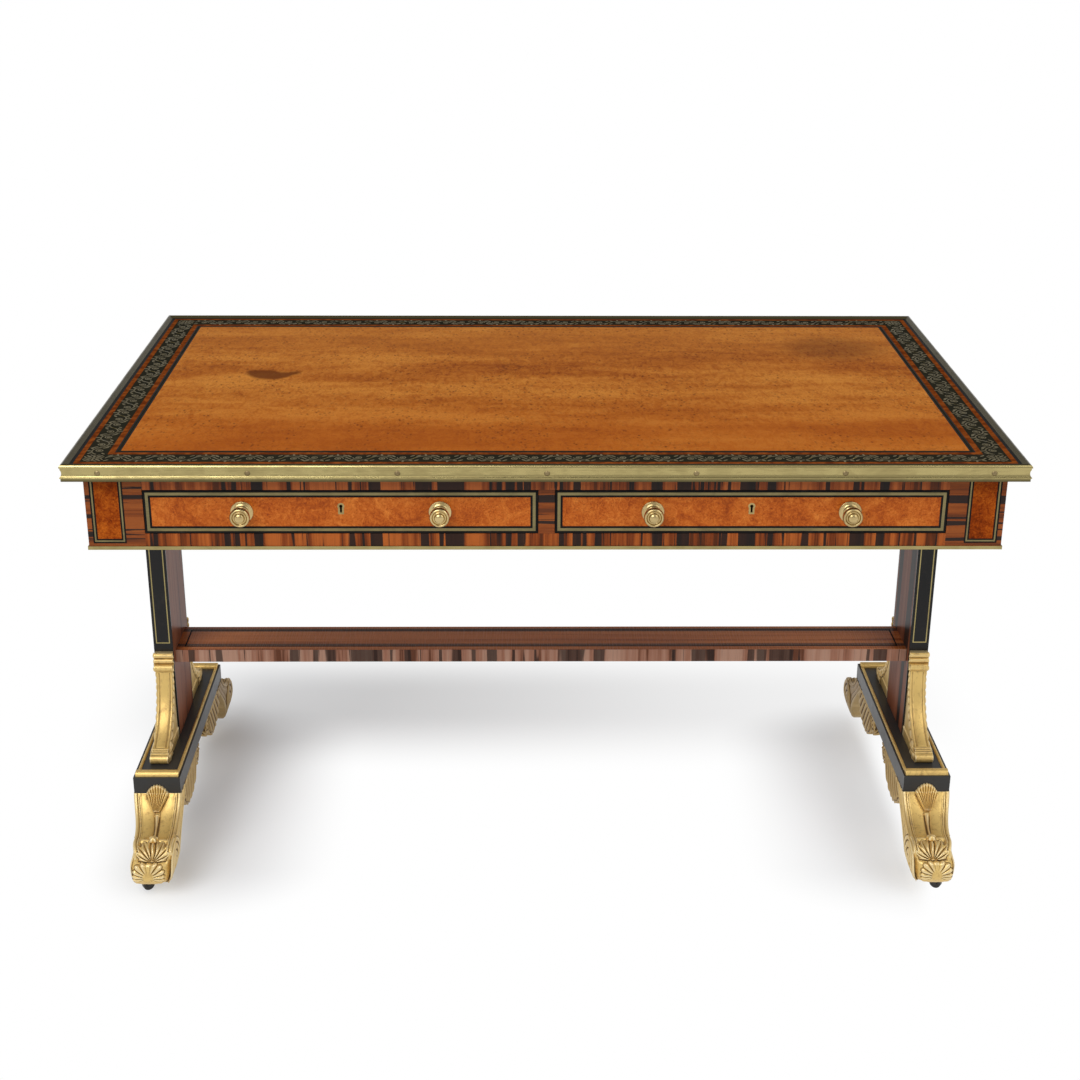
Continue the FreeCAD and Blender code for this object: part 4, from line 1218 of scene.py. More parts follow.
@dataclass
class ScrollBand:
    """Brass arabesque let into the black band of the top: a running wave with curling tendrils."""

    edge_inset: float = 38.0
    corner_inset: float = 53.5
    pitch: float = 59.0
    stem: float = 1.9
    wave_turn: float = 120.0
    step_turn: float = 18.0
    eye_rise: float = 2.2
    curl: float = 5.6
    curl_root: float = 1.5
    curl_turns: int = 3
    curl_shrink: float = 0.66
    curl_width: float = 0.42
    bud: float = 1.7
    bud_shift: float = 1.5
    outer_leaves: Tuple[Triple, ...] = ((-10.5, 10.2, 35.0), (9.5, 9.4, -40.0), (0.0, 12.0, 80.0))
    outer_leaf: Pair = (4.6, 1.6)
    inner_leaves: Tuple[Triple, ...] = ((-13.5, 7.6, -55.0), (11.8, 8.8, 40.0))
    inner_leaf: Tuple[Pair, ...] = ((5.0, 1.7), (4.2, 1.5))
    rosette_eye: float = 2.4
    long_petal: Triple = (9.5, 6.4, 1.7)
    short_petal: Triple = (7.0, 3.8, 1.7)
    tip: Pair = (11.6, 4.2)
    tip_leaf: Pair = (3.2, 1.2)
    tip_lean: float = 55.0
    proud: float = 0.12
    thick: float = 0.5

    def ribbon(self, shape: BMesh, start: Vector, across: Vector,
               bends: Sequence[Tuple[Vector, float]]) -> None:
        """Sweep a flat strip through a chain of arcs.

        Args:
            shape: Mesh to add to.
            start: Middle of the strip's first end.
            across: Half of that end.
            bends: Each arc's centre and angle in degrees.
        """
        verts = [shape.verts.new(start - across), shape.verts.new(start + across)]
        geom: List[Any] = verts + [shape.edges.new(verts)]
        for centre, angle in bends:
            steps = max(3, round(abs(angle) / self.step_turn))
            swept = bmesh.ops.spin(shape, geom=geom, cent=centre, axis=(0, 0, 1), dvec=(0, 0, 0),
                                   angle=math.radians(angle), steps=steps)
            geom = swept["geom_last"]

    def leaf(self, shape: BMesh, place: Vector, long: float, wide: float, turn: float) -> None:
        """Lay one pointed leaf.

        Args:
            shape: Mesh to add to.
            place: Its middle.
            long: Half length.
            wide: Half width.
            turn: Heading in degrees.
        """
        lay = Matrix.Translation(place) @ Matrix.Rotation(math.radians(turn), 4, "Z")
        bmesh.ops.create_circle(shape, cap_ends=True, segments=8, radius=1.0,
                                matrix=lay @ Matrix.Diagonal((long, wide, 1, 1)))

    def unit(self) -> BMesh:
        """One length of the running scroll, lying flat and centred.

        Returns:
            The flat mesh.
        """
        shape = bmesh.new()
        quarter = self.pitch / 4
        half_turn = math.radians(self.wave_turn / 2)
        radius = quarter / math.sin(half_turn)
        drop = radius * math.cos(half_turn)
        start = Vector((-2 * quarter, 0, 0))
        crest = Vector((-quarter, -drop, 0))
        trough = Vector((quarter, drop, 0))
        across = (start - crest).normalized() * self.stem / 2
        self.ribbon(shape, start, across, [(crest, -self.wave_turn), (trough, self.wave_turn)])
        for side in (-1, 1):
            self.tendril(shape, Vector((side * quarter, side * self.eye_rise, 0)), side)
            for out, up, lean in self.outer_leaves:
                spot = Vector((side * (quarter + out), side * -up, 0))
                self.leaf(shape, spot, *self.outer_leaf, lean * side)
            for (out, up, lean), half in zip(self.inner_leaves, self.inner_leaf):
                self.leaf(shape, Vector((side * (quarter + out), side * up, 0)), *half, lean)
        return shape

    def tendril(self, shape: BMesh, eye: Vector, side: int) -> None:
        """Curl one tendril round its eye and set a bud in it.

        Args:
            shape: Mesh to add to.
            eye: Middle of the curl.
            side: 1 above the wave, -1 below it.
        """
        root = eye - Vector((side * self.curl * self.curl_root, 0, 0))
        bends = []
        here = root
        reach = Vector((side * self.curl, 0, 0))
        for _ in range(self.curl_turns):
            bends.append((here + reach, 180.0))
            here = here + reach * 2
            reach = reach * -self.curl_shrink
        self.ribbon(shape, root, Vector((side * self.stem * self.curl_width, 0, 0)), bends)
        bud = eye + Vector((side * (self.bud_shift - self.curl / 2), 0, 0))
        self.leaf(shape, bud, self.bud, self.bud, 0)

    def corner(self) -> BMesh:
        """A rosette for one corner square, lying flat and centred.

        Returns:
            The flat mesh.
        """
        shape = bmesh.new()
        self.leaf(shape, Vector((0, 0, 0)), self.rosette_eye, self.rosette_eye, 0)
        for turn in range(0, 360, 45):
            out = Vector((math.cos(math.radians(turn)), math.sin(math.radians(turn)), 0))
            distance, long, wide = self.long_petal if turn % 90 else self.short_petal
            self.leaf(shape, out * distance, long, wide, turn)
            if turn % 90 == 0:
                aside = Vector((-out.y, out.x, 0)) * self.tip[1]
                self.leaf(shape, out * self.tip[0] + aside, *self.tip_leaf, turn + self.tip_lean)
                self.leaf(shape, out * self.tip[0] - aside, *self.tip_leaf, turn - self.tip_lean)
        return shape

    def lay(self, half_long: float, half_deep: float, top: float) -> BMesh:
        """Lay the whole band round the top.

        Args:
            half_long: Half length of the top.
            half_deep: Half depth of the top.
            top: Height of its face.

        Returns:
            Closed strips, a little proud of the face.
        """
        band = bmesh.new()
        level = top + self.proud
        places = []
        for run, offset, turn in ((half_long, half_deep, 0), (half_deep, half_long, 90)):
            length = 2 * (run - self.corner_inset)
            count = round(length / self.pitch)
            fit = Matrix.Diagonal((length / (count * self.pitch), 1, 1, 1))
            for step in range(count):
                along = -length / 2 + (step + 0.5) * length / count
                spot = Matrix.Translation((along, -(offset - self.edge_inset), level)) @ fit
                for side in (0, 180):
                    places.append(Matrix.Rotation(math.radians(turn + side), 4, "Z") @ spot)
        repeat(band, self.unit(), places)
        across, out = half_long - self.edge_inset, half_deep - self.edge_inset
        repeat(band, self.corner(), [Matrix.Translation((side * across, -front * out, level))
                                     for side, front in CORNERS.values()])
        swept = bmesh.ops.extrude_face_region(band, geom=band.faces[:])["geom"]
        moved = [item for item in swept if isinstance(item, BMVert)]
        bmesh.ops.translate(band, vec=(0, 0, -self.thick), verts=moved)
        return band


@dataclass
class Top(Assembly):
    """The inlaid top with its brass edge and the pins that hold it."""

    inner_line_inset: float = 61.5
    inner_line: float = 7.0
    strip: float = 2.2
    pin_rise: float = 1.5
    pin_round: Pair = (0.7, 0.72)
    pin_head_thick: float = 1.5
    pin_shank: float = 1.25
    pin_bite: float = 22.0
    pin_margin: float = 50.0
    pins_long: int = 7
    pins_short: int = 4
    pin_turns: int = 24

    def pin(self, head: float) -> BMesh:
        """One round-headed pin at the origin, pointing its head along -Y.

        Args:
            head: Radius of its head.

        Returns:
            The mesh.
        """
        line = Outline((0.0, -self.pin_bite)).line_to((self.pin_shank, -self.pin_bite))
        line.line_to((self.pin_shank, -self.pin_head_thick)).line_to((head, -self.pin_head_thick))
        shoulder = (head * self.pin_round[0], self.pin_rise * self.pin_round[1])
        line.line_to((head, 0.0)).arc_to(shoulder, (0.0, self.pin_rise), steps=6)
        shape = bmesh.new()
        lathe(shape, line, Vector((0, 0, 0)), 1, self.pin_turns)
        return shape

    def pins(self, half_long: float, half_deep: float) -> BMesh:
        """Rows of pins along the four sides.

        Args:
            half_long: Half length of the top.
            half_deep: Half depth of the top.

        Returns:
            The mesh of them all.
        """
        low, high = mm_box("edge_moulding_pins")
        level = (low.z + high.z) / 2
        places = []
        sides = ((half_long, self.pins_long, -low.y, 0), (half_deep, self.pins_short, high.x, 90))
        for half, count, out, turn in sides:
            for index in range(count):
                along = (half - self.pin_margin) * (2 * index / (count - 1) - 1)
                spot = Matrix.Translation((along, -out, level))
                for side in (0, 180):
                    places.append(Matrix.Rotation(math.radians(turn + side), 4, "Z") @ spot)
        rows = bmesh.new()
        repeat(rows, self.pin((high.z - low.z) / 2), places)
        return rows

    def build(self) -> None:
        """Lay the scroll band and the strip of the inner line, in the marquetry ground's black, and drive
        the pins.
        """
        _, high = mm_box("top_marquetry")
        board_low, board_high = mm_box("edge_moulding_front")
        half_long = board_high.x
        half_deep = -board_low.y
        band = ScrollBand().lay(half_long, half_deep, high.z)
        add_piece("top_scroll_inlay", band, Finishes.scroll, "frame")
        shape = bmesh.new()
        inset = self.inner_line_inset
        strip = LineFrame(half_long - inset, half_deep - inset, self.inner_line, self.strip)
        strip.lay(shape, Matrix.Translation((0, 0, high.z)))
        add_piece("top_inner_line", shape, Finishes.ground, "frame")
        add_piece("edge_pin_heads", self.pins(half_long, half_deep), Finishes.pin, "frame",
                  ["edge_moulding_pins"])

    def dress(self) -> None:
        """Give the top's solids their finishes."""
        dress(["top_board"], Finishes.carcase)
        dress(["edge_moulding_" + side for side in ("front", "right", "back", "left")], Finishes.edge)
        dress(["top_field_veneer"], Finishes.field)
        dress(["top_crossbands"], Finishes.crossband)
        dress(["top_stringing"], Finishes.ebony)
        dress(["top_marquetry"], Finishes.ground)


@dataclass
class Frieze(Assembly):
    """The frieze round the drawers, with framed panels at its corners, ends and back."""

    drawers: "Drawers"
    corner_line: float = 6.5
    corner_strip: float = 2.1
    corner_half: Pair = (22.5, 48.5)
    corner_mid: Pair = (591.5, 662.5)
    end_half: float = 284.5
    knob_grip: float = 22.0

    def build(self) -> None:
        """Lay the brass strips and turn the back knobs; the back repeats the drawers' panels."""
        drawers = self.drawers
        low, high = mm_box("frieze_panels")
        shape = bmesh.new()
        corner = LineFrame(*self.corner_half, self.corner_line, self.corner_strip)
        panel = LineFrame(*drawers.half, drawers.line, drawers.strip)
        end = LineFrame(self.end_half, drawers.half[1], drawers.line, drawers.strip)
        for side, front in CORNERS.values():
            face = high.y if front < 0 else low.y
            corner.lay(shape, upright_face(side * self.corner_mid[0], face, self.corner_mid[1], front))
        for side in (-1, 1):
            panel.lay(shape, upright_face(side * drawers.middle[0], high.y, drawers.middle[1], -1))
            turn = Matrix.Rotation(side * math.pi / 2, 4, "Z")
            end.lay(shape, turn @ upright_face(0, -high.x, drawers.middle[1], 1))
        add_piece("frieze_brass_lines", shape, Finishes.inlay, "frame")
        knobs = bmesh.new()
        line = drawers.knob.profile(self.knob_grip)
        for side in (-1, 1):
            for place in drawers.knob_places(side, high.y):
                lathe(knobs, line, place, -1, drawers.knob.turns)
        add_piece("back_turned_knobs", knobs, Finishes.knob, "frame", ["back_knobs"])

    def dress(self) -> None:
        """Give the frieze's solids their finishes."""
        dress(["front_top_rail", "back_rail"], Finishes.rail)
        dress(["front_bottom_rail"], Finishes.low_rail)
        dress(["centre_stile", "corner_posts"], Finishes.stile)
        dress(["side_rail_right", "side_rail_left"], Finishes.end_rail)
        dress(["frieze_panels"], Finishes.corner_burr)
        dress(["frieze_stringing"], Finishes.ebony)
        dress(["frieze_beads"], Finishes.brass)
        dress(["drawer_runners", "drawer_kickers"], Finishes.carcase)


def upright_face(x: float, y: float, z: float, front: int) -> Matrix:
    """Place on an upright face, its Z axis out of the front or the back.

    Args:
        x: Middle along the table.
        y: Face of the wood.
        z: Middle height.
        front: 1 for the front, -1 for the back.

    Returns:
        The place.
    """
    return Matrix.Translation((x, y, z)) @ Matrix.Rotation(front * math.pi / 2, 4, "X")


@dataclass
class Drawers(Assembly):
    """The two frieze drawers: brass lines, knobs and locks."""

    knob: TurnedKnob
    middle: Pair = (277.25, 659.5)
    half: Pair = (265.45, 30.7)
    knob_spacing: float = 267.0
    grip: float = 20.0
    line: float = 10.0
    strip: float = 4.0

    def knob_places(self, side: int, face: float) -> List[Vector]:
        """Middles of a drawer's two knobs.

        Args:
            side: 1 for right, -1 for left.
            face: Y of the face that they stand on.

        Returns:
            Two points.
        """
        return [Vector((side * self.middle[0] + step * self.knob_spacing / 2, face, self.middle[1]))
                for step in (-1, 1)]

    def build(self) -> None:
        """Lay the brass lines and turn the knobs of both drawers."""
        for name, side in (("left", -1), ("right", 1)):
            body = name + "_drawer"
            low, _ = mm_box(body + "_panel")
            lines = bmesh.new()
            strip = LineFrame(*self.half, self.line, self.strip)
            strip.lay(lines, upright_face(side * self.middle[0], low.y, self.middle[1], 1))
            add_piece(body + "_brass_line", lines, Finishes.inlay, body)
            knobs = bmesh.new()
            line = self.knob.profile(self.grip + self.knob.nut_thick)
            for place in self.knob_places(side, low.y):
                lathe(knobs, line, place, 1, self.knob.turns)
                self.knob.fasten(knobs, place, self.grip, 1)
            add_piece(body + "_turned_knobs", knobs, Finishes.knob, body, [body + "_knobs"])

    def dress(self) -> None:
        """Give the drawers' solids their finishes."""
        for name in ("left_drawer", "right_drawer"):
            dress([name + "_front", name + "_box", name + "_bottom"], Finishes.carcase)
            dress([name + "_panel"], Finishes.burr)
            dress([name + "_stringing"], Finishes.ebony)
            dress([name + "_lock"], Finishes.lock)
            dress([name + "_bolt"], Finishes.steel)


@dataclass
class Bracket(Assembly):
    """A gilt console between upright and plinth: reeded cap, roll, hollow shaft and foot roll."""

    wide: float = 28.0
    waist: float = 1.6
    waist_soft: float = 2.0
    cap: float = 10.0
    cap_high: float = 18.0
    reed: float = 9.0
    reed_swell: float = 0.9
    reed_edge: float = 1.6
    reed_groove: float = 2.8
    reed_gap: Pair = (0.6, 0.8)
    roll: float = 6.2
    foot_roll: float = 7.4
    sag: float = 23.0
    toe: float = 92.0
    shaft_start: float = 47.0
    shaft_soft: float = 4.0
    rail: Ridge = Ridge(0.9, 1.7, 1.7)
    groove: Ridge = Ridge(-0.8, 4.2, 1.0)
    belly: Ridge = Ridge(1.7, 0.0, 9.6)
    belly_sink: float = 1.0
    ridges: int = 3
    ridge: float = 4.6
    ridge_soft: float = 1.0
    lobe: float = 3.4
    lobe_lean: float = 5.0
    lobe_blunt: float = 0.7
    lobe_high: Pair = (0.3, 1.9)
    lobe_span: Span = Span(0.03, 0.42, 0.10)

    def __post_init__(self) -> None:
        """Take the console's place from the frame."""
        low, high = mm_box("brackets")
        facing_low, _ = mm_box("upright_facings")
        self.root = -facing_low.y
        self.foot = low.z
        self.top = high.z
        self.outer = high.x
        self.shaft_low = self.foot + 2 * self.foot_roll
        self.shaft_high = self.top - self.cap_high - 2 * self.roll
        self.front = self.outline()
        self.length = self.front.length()

    def outline(self) -> Outline:
        """Front line from the cap down to the foot roll.

        Returns:
            The line.
        """
        cap = self.root + self.cap
        toe = self.root + self.toe
        edge = cap - self.reed_edge
        line = Outline((edge, self.top))
        for high in (self.top, self.top - self.reed):
            low = high - self.reed
            line.line_to((edge, high - self.reed_gap[0]))
            line.arc_to((cap + self.reed_swell, (high + low) / 2), (edge, low + self.reed_gap[1]), steps=12)
            line.line_to((cap - self.reed_groove, low))
        low = self.top - self.cap_high
        line.line_to((cap, low)).arc_to((cap + self.roll, low - self.roll), (cap, self.shaft_high), steps=22)
        sag = self.sag * math.sqrt(0.5)
        hollow = ((cap + toe) / 2 - sag, (self.shaft_high + self.shaft_low) / 2 - sag)
        line.arc_to(hollow, (toe, self.shaft_low), steps=48)
        line.arc_to((toe + self.foot_roll, self.shaft_low - self.foot_roll), (toe, self.foot), steps=22)
        return line

    def sides(self, height: float) -> Pair:
        """Sides at a height: full width at cap and rolls, a little narrower on the shaft.

        Args:
            height: Height above the floor.

        Returns:
            Inner and outer side.
        """
        slim = self.waist * Span(self.shaft_low, self.shaft_high, self.waist_soft).at(height)
        return self.outer - self.wide + slim, self.outer - slim

    def raise_front(self, x: float, down: float) -> float:
        """Height of the carving on the front.

        Args:
            x: Place across, from the middle.
            down: Length down the front line.

        Returns:
            Relief in millimetres.
        """
        inset = self.wide / 2 - self.waist - abs(x)
        ridge_end = self.length - math.pi * self.foot_roll
        ridge_start = ridge_end - self.ridges * self.ridge
        shaft = self.rail.at(inset) + self.groove.at(inset) + self.belly.at(x) - self.belly_sink
        ridged = abs(math.sin(math.pi * (down - ridge_start) / self.ridge))
        return (shaft * Span(self.shaft_start, ridge_start, self.shaft_soft).at(down)
                + ridged * Span(ridge_start, ridge_end, self.ridge_soft).at(down))

    def raise_side(self, spot: Vector, depth: float) -> float:
        """Height of the leafy beads down a side.

        Args:
            spot: Place out from the middle and up.
            depth: Share of the way from front to back.

        Returns:
            Relief in millimetres.
        """
        lobes = abs(math.sin(spot.y / self.lobe + depth * self.lobe_lean)) ** self.lobe_blunt
        return self.lobe_span.at(depth) * (self.lobe_high[0] + self.lobe_high[1] * lobes)

    def build(self) -> None:
        """Carve one console and set it at the four corners."""
        back = Outline((self.root, self.top)).line_to((self.root, self.foot))
        carving = Carving(self.front, back, self.sides, self.raise_front, self.raise_side, rows=240,
                          front_columns=44, side_columns=26)
        gilt = Finishes.gilt
        set_at_corners("bracket_", carving.skin(), gilt, gilt, ["brackets"], crease=60.0, hollows=5)


@dataclass
class Base(Assembly):
    """Uprights, stretcher and plinths."""

    def dress(self) -> None:
        """Give the base's solids their finishes."""
        dress(["upright_right", "upright_left"], Finishes.upright)
        dress(["upright_facings"], Finishes.facing)
        dress(["stretcher_lines"], Finishes.ebony)
        dress(["upright_lines"], Finishes.brass)
        dress(["stretcher"], Finishes.stretcher)
        dress(["plinth_right", "plinth_left"], Finishes.ebonised)
        dress(["plinth_beads"], Finishes.gilt)


@dataclass(frozen=True)
class LeafFan:
    """The leaf that spreads up and to both sides from the toe to the rosette, in a hollow."""

    foot: float = 125.0
    reach: float = 38.0
    ribs: float = 10.0
    sink: float = 3.4
    sink_rise: Span = Span(-6.0, 40.0, 8.0)
    sink_aside: Span = Span(-9.0, 24.0, 5.0)
    spread: float = 1.45
    eye: float = 0.5
    twist: float = 0.006
    narrow: float = 0.72
    lobes: float = 0.07
    blunt: float = 0.75
    swell: Pair = (0.5, 0.52)
    high: Pair = (1.4, 3.9)
    vein: float = 2.6
    vein_wide: float = 1.6
    vein_root: float = -2.0
    vein_soft: float = 5.0

    def at(self, off: float, down: float) -> float:
        """Height of the leaf.

        Args:
            off: Distance from the middle.
            down: Length down the front line.

        Returns:
            Relief in millimetres.
        """
        rise = self.foot - down
        radius = math.hypot(off, rise)
        angle = math.atan2(off, rise)
        hollow = -self.sink * self.sink_rise.at(rise) * self.sink_aside.at(off)
        if angle > self.spread or radius < self.eye:
            return hollow
        bend = angle + radius * self.twist
        lobed = 1 + self.lobes * math.cos(2 * self.ribs * bend)
        reach = self.reach * math.cos(angle * self.narrow) * lobed
        if radius > reach:
            return hollow
        rib = abs(math.sin(self.ribs * bend)) ** self.blunt
        body = Ridge(self.high[0] + self.high[1] * rib, reach * self.swell[0], reach * self.swell[1])
        vein = self.vein * math.exp(-(off / self.vein_wide) ** 2)
        return hollow + body.at(radius) + vein * Span(self.vein_root, reach, self.vein_soft).at(radius)


@dataclass(frozen=True)
class ToeShell:
    """The shell on the toe, its ribs spreading up and out from a hinge above the sole."""

    hinge: float = 150.0
    rise: float = 25.0
    fall: float = 28.0
    half: float = 23.5
    shift: float = 4.5
    ribs: float = 8.0
    on_toe: Span = Span(109.0, math.inf, 14.0)
    sink: float = 1.8
    flat: float = 19.0
    turn_down: float = 0.05
    square: int = 3
    lobes: float = 0.05
    swell: float = 3.4
    rib: float = 3.0
    rib_mean: float = 0.55
    blunt: float = 0.7
    bare_half: float = 9.0
    bare: Span = Span(-12.0, 60.0, 10.0)
    ribbed: Span = Span(0.2, 1.3, 0.3)

    def at(self, x: float, down: float) -> float:
        """Height of the shell.

        Args:
            x: Place across, from the middle.
            down: Length down the front line.

        Returns:
            Relief in millimetres.
        """
        off = abs(x - self.shift)
        rise = self.hinge - down
        rounded = -self.sink - self.turn_down * max(0.0, off - self.flat) ** 2
        rounded *= self.on_toe.at(down)
        tall = self.rise if rise > 0 else self.fall
        angle = math.atan2(off, rise)
        size = ((off / self.half) ** self.square + (abs(rise) / tall) ** self.square) ** (1 / self.square)
        size /= 1 + self.lobes * math.cos(2 * self.ribs * angle)
        if size >= 1:
            return rounded
        swell = self.swell * math.sqrt(1 - size ** (2 * self.square))
        rib = abs(math.cos(self.ribs * angle)) ** self.blunt - self.rib_mean
        rib *= min(1.0, off / self.bare_half) * self.bare.at(rise) * self.ribbed.at(size)
        return rounded + swell + self.rib * rib


@dataclass(frozen=True)
class RootShell:
    """The fluted shell that lies over the joint of plinth and foot."""

    rise: float = 15.5
    drop: float = 30.0
    half: float = 18.5
    base: float = 4.5
    spread: float = 46.0
    ribs: int = 9
    sink: float = 8.0
    spokes: int = 108
    rings: int = 30
    arch: float = 0.05
    scallop: float = 0.038
    thick: float = 1.2
    cup: float = 2.4
    cup_grow: Pair = (0.16, 0.80)
    cup_blunt: float = 0.6
    flute: float = 3.4
    flute_blunt: float = 0.8
    flute_grow: Pair = (0.35, 1.6)
    flute_fade: Pair = (1.15, -0.5)
    lean: Pair = (0.80, 0.60)
    weld: float = 0.02

    def stand(self, across: float, share: float) -> Triple:
        """Place of one point of the shell.

        Args:
            across: Place across the fan, from -1 to 1.
            share: Share of the way up from its base.

        Returns:
            Distance from the middle, height above the joint and height off the wood.
        """
        spread = math.radians(self.spread)
        tall = self.rise + self.drop
        narrow = self.half / (tall * math.sin(spread))
        flute = abs(math.cos(math.pi * self.ribs * across / 2))
        reach = share * tall * (1 - self.arch * across ** 2) * (1 - self.scallop * (1 - flute))
        up = reach * math.cos(spread * across) - self.drop
        x = across * self.base * (1 - share) + reach * math.sin(spread * across) * narrow
        cup = math.sin(math.pi * min(1.0, self.cup_grow[0] + share * self.cup_grow[1])) ** self.cup_blunt
        grown = min(1.0, self.flute_grow[0] + share * self.flute_grow[1])
        grown *= self.flute_fade[0] + share * self.flute_fade[1]
        return x, up, self.thick + self.cup * cup + self.flute * flute ** self.flute_blunt * grown


@dataclass(frozen=True)
class Boss:
    """A small carved boss on the front line: a plain bud, or a rosette with petals."""

    down: float
    half: Triple
    sunk: float
    petals: int = 0
    flare: float = 0.0


@dataclass
class ScrollFoot(Assembly):
    """A carved foot: shell on the plinth, stem, leaf fan and a large rolled toe with a lobed shell."""

    root_deep: float = 50.0
    front_sag: float = 9.0
    back_sag: float = 6.0
    toe_reach: float = 70.0
    toe_radius: float = 36.0
    toe_high: float = 53.5
    valley: float = 97.0
    heel: float = 205.0
    sole_cut: float = 3.0
    inner_taper: float = 3.0
    waist: float = 15.5
    waist_drop: float = 50.0
    waist_bend: float = 1.6
    lobe: float = 5.0
    lobe_span: Span = Span(12.0, 84.0, 26.0)
    tuck: float = 23.0
    tuck_high: float = 60.0
    plain: Span = Span(-3.0, 123.0, 4.0)
    outer_fillet: Ridge = Ridge(1.5, 2.4, 2.4)
    inner_fillet: Ridge = Ridge(0.9, 7.6, 2.6)
    panel: Span = Span(1.0, 99.0, 7.0)
    panel_inset: float = 7.5
    panel_gap: float = 4.0
    root_gap: float = 15.0
    gap_close: float = 30.0
    panel_sink: float = 1.6
    panel_swell: float = 2.2
    panel_blunt: float = 0.8
    stem: Span = Span(35.0, 91.0, 3.0)
    stem_high: float = 5.2
    stem_half: float = 4.0
    stem_thin: float = 2.5
    stem_taper: float = 24.0
    fan: LeafFan = LeafFan()
    toe: ToeShell = ToeShell()
    shell: RootShell = RootShell()
    bud: Boss = Boss(36.5, (4.6, 4.2, 3.0), 0.6)
    rosette: Boss = Boss(88.0, (6.4, 5.2, 6.4), -2.2, petals=5, flare=0.16)
    front_rim: Ridge = Ridge(1.3, 0.07, 0.065)
    back_rim: Ridge = Ridge(1.3, 0.93, 0.065)
    leg: Span = Span(0.1, 0.9, 0.12)
    leg_rib: float = 1.1
    leg_ribs: float = 9.4
    leg_lean: float = 26.0
    volute: float = 2.6
    volute_pitch: float = 11.5
    volute_blunt: float = 0.8
    volute_rim: Pair = (-1.0, 3.0)
    volute_eye: Ridge = Ridge(3.0, 0.0, 7.0)
    pocket: float = 14.5
    pocket_high: float = 26.0
    castor_shift: float = 8.0
    castor_setback: float = 4.0
    steps: int = 400

    def __post_init__(self) -> None:
        """Take the plinth's place from the frame and draw the front line."""
        low, high = mm_box("plinth_right")
        self.inner = low.x
        self.outer = high.x
        self.middle = (low.x + high.x) / 2
        self.end = high.y
        self.root_high = low.z
        self.toe_out = self.end + self.toe_reach
        self.sole = -math.degrees(math.asin(1 - self.sole_cut / self.toe_radius))
        self.front = self.front_line()
        self.length = self.front.length()
        self.trail = self.front.spaced(self.steps)

    def on_toe(self, angle: float) -> Vector:
        """Point of the rolled toe at an angle in degrees."""
        spoke = Vector((math.cos(math.radians(angle)), math.sin(math.radians(angle))))
        return Vector((self.toe_out, self.toe_high)) + self.toe_radius * spoke

    def bowed(self, start: Vector, end: Vector, bow: float) -> Vector:
        """Middle of a chord, moved off it to its left by a bow."""
        along = end - start
        return (start + end) / 2 + Vector((-along.y, along.x)).normalized() * bow

    def sides(self, height: float) -> Pair:
        """Sides of the foot at a height: waisted above the toe on its outer side.

        Args:
            height: Height above the floor.

        Returns:
            Inner and outer side.
        """
        fall = held((self.root_high - height) / self.waist_drop) ** self.waist_bend
        swell = self.lobe * self.lobe_span.at(height)
        inner = self.inner + self.inner_taper * (1 - height / self.root_high)
        inner += self.tuck * max(0.0, 1 - height / self.tuck_high) ** 2
        return inner, self.outer - self.waist * fall + swell

    def front_line(self) -> Outline:
        """Front line from the plinth over the toe to the sole.

        Returns:
            The line.
        """
        root = Vector((self.end, self.root_high))
        valley = self.on_toe(self.valley)
        line = Outline(root).arc_to(self.bowed(root, valley, -self.front_sag), valley, steps=40)
        return line.arc_to(self.on_toe((self.valley + self.sole) / 2), self.on_toe(self.sole), steps=60)

    def back_line(self) -> Outline:
        """Back line from the plinth down round the heel to the sole.

        Returns:
            The line.
        """
        root = Vector((self.end - self.root_deep, self.root_high))
        heel = self.on_toe(self.heel)
        under = 180 - self.sole
        line = Outline(root).arc_to(self.bowed(root, heel, self.back_sag), heel, steps=40)
        return line.arc_to(self.on_toe((self.heel + under) / 2), self.on_toe(under), steps=20)

    def along(self, down: float) -> Vector:
        """Point of the front line at a length down it."""
        return self.trail[min(self.steps, round(down / self.length * self.steps))]

    def raise_front(self, x: float, down: float) -> float:
        """Height of the carving on the front: sunk panels between fillets, stem, leaf and toe shell.

        Args:
            x: Place across, from the middle.
            down: Length down the front line.

        Returns:
            Relief in millimetres.
        """
        inner, outer = self.sides(self.along(down).y)
        off = abs(x)
        inset = (outer - inner) / 2 - off
        edge = (outer - inner) / 2 - self.panel_inset
        gap = self.panel_gap + self.root_gap * max(0.0, 1 - down / self.gap_close)
        panel = 0.0
        if off < edge:
            leaf = Ridge(1.0, (gap + edge) / 2, (edge - gap) / 2).at(off) if edge > gap else 0.0
            panel = self.panel_swell * leaf ** self.panel_blunt - self.panel_sink
        ground = panel * self.panel.at(down) + self.outer_fillet.at(inset) + self.inner_fillet.at(inset)
        half = self.stem_half - self.stem_thin * held((down - self.stem.low) / self.stem_taper)
        stem = Ridge(self.stem_high, 0.0, half).at(off) * self.stem.at(down)
        return self.plain.at(down) * ground + stem + self.fan.at(off, down) + self.toe.at(x, down)

    def raise_side(self, spot: Vector, depth: float) -> float:
        """Height of the carving on a side: a spiral on the rolled toe, ribs on the leg.

        Args:
            spot: Place out from the middle and up.
            depth: Share of the way from front to back.

        Returns:
            Relief in millimetres.
        """
        arm = spot - Vector((self.toe_out, self.toe_high))
        radius = arm.length
        if radius > self.toe_radius:
            rib = self.leg_rib * abs(math.sin(depth * self.leg_ribs + spot.y / self.leg_lean))
            return self.front_rim.at(depth) + self.back_rim.at(depth) + rib * self.leg.at(depth)
        turn = math.atan2(arm.y, arm.x) / (2 * math.pi)
        spiral = (radius / self.volute_pitch - turn) % 1.0
        band = self.volute * math.sin(math.pi * spiral) ** self.volute_blunt
        low, soft = self.volute_rim
        return max(band * Span(low, self.toe_radius, soft).at(radius), self.volute_eye.at(radius))

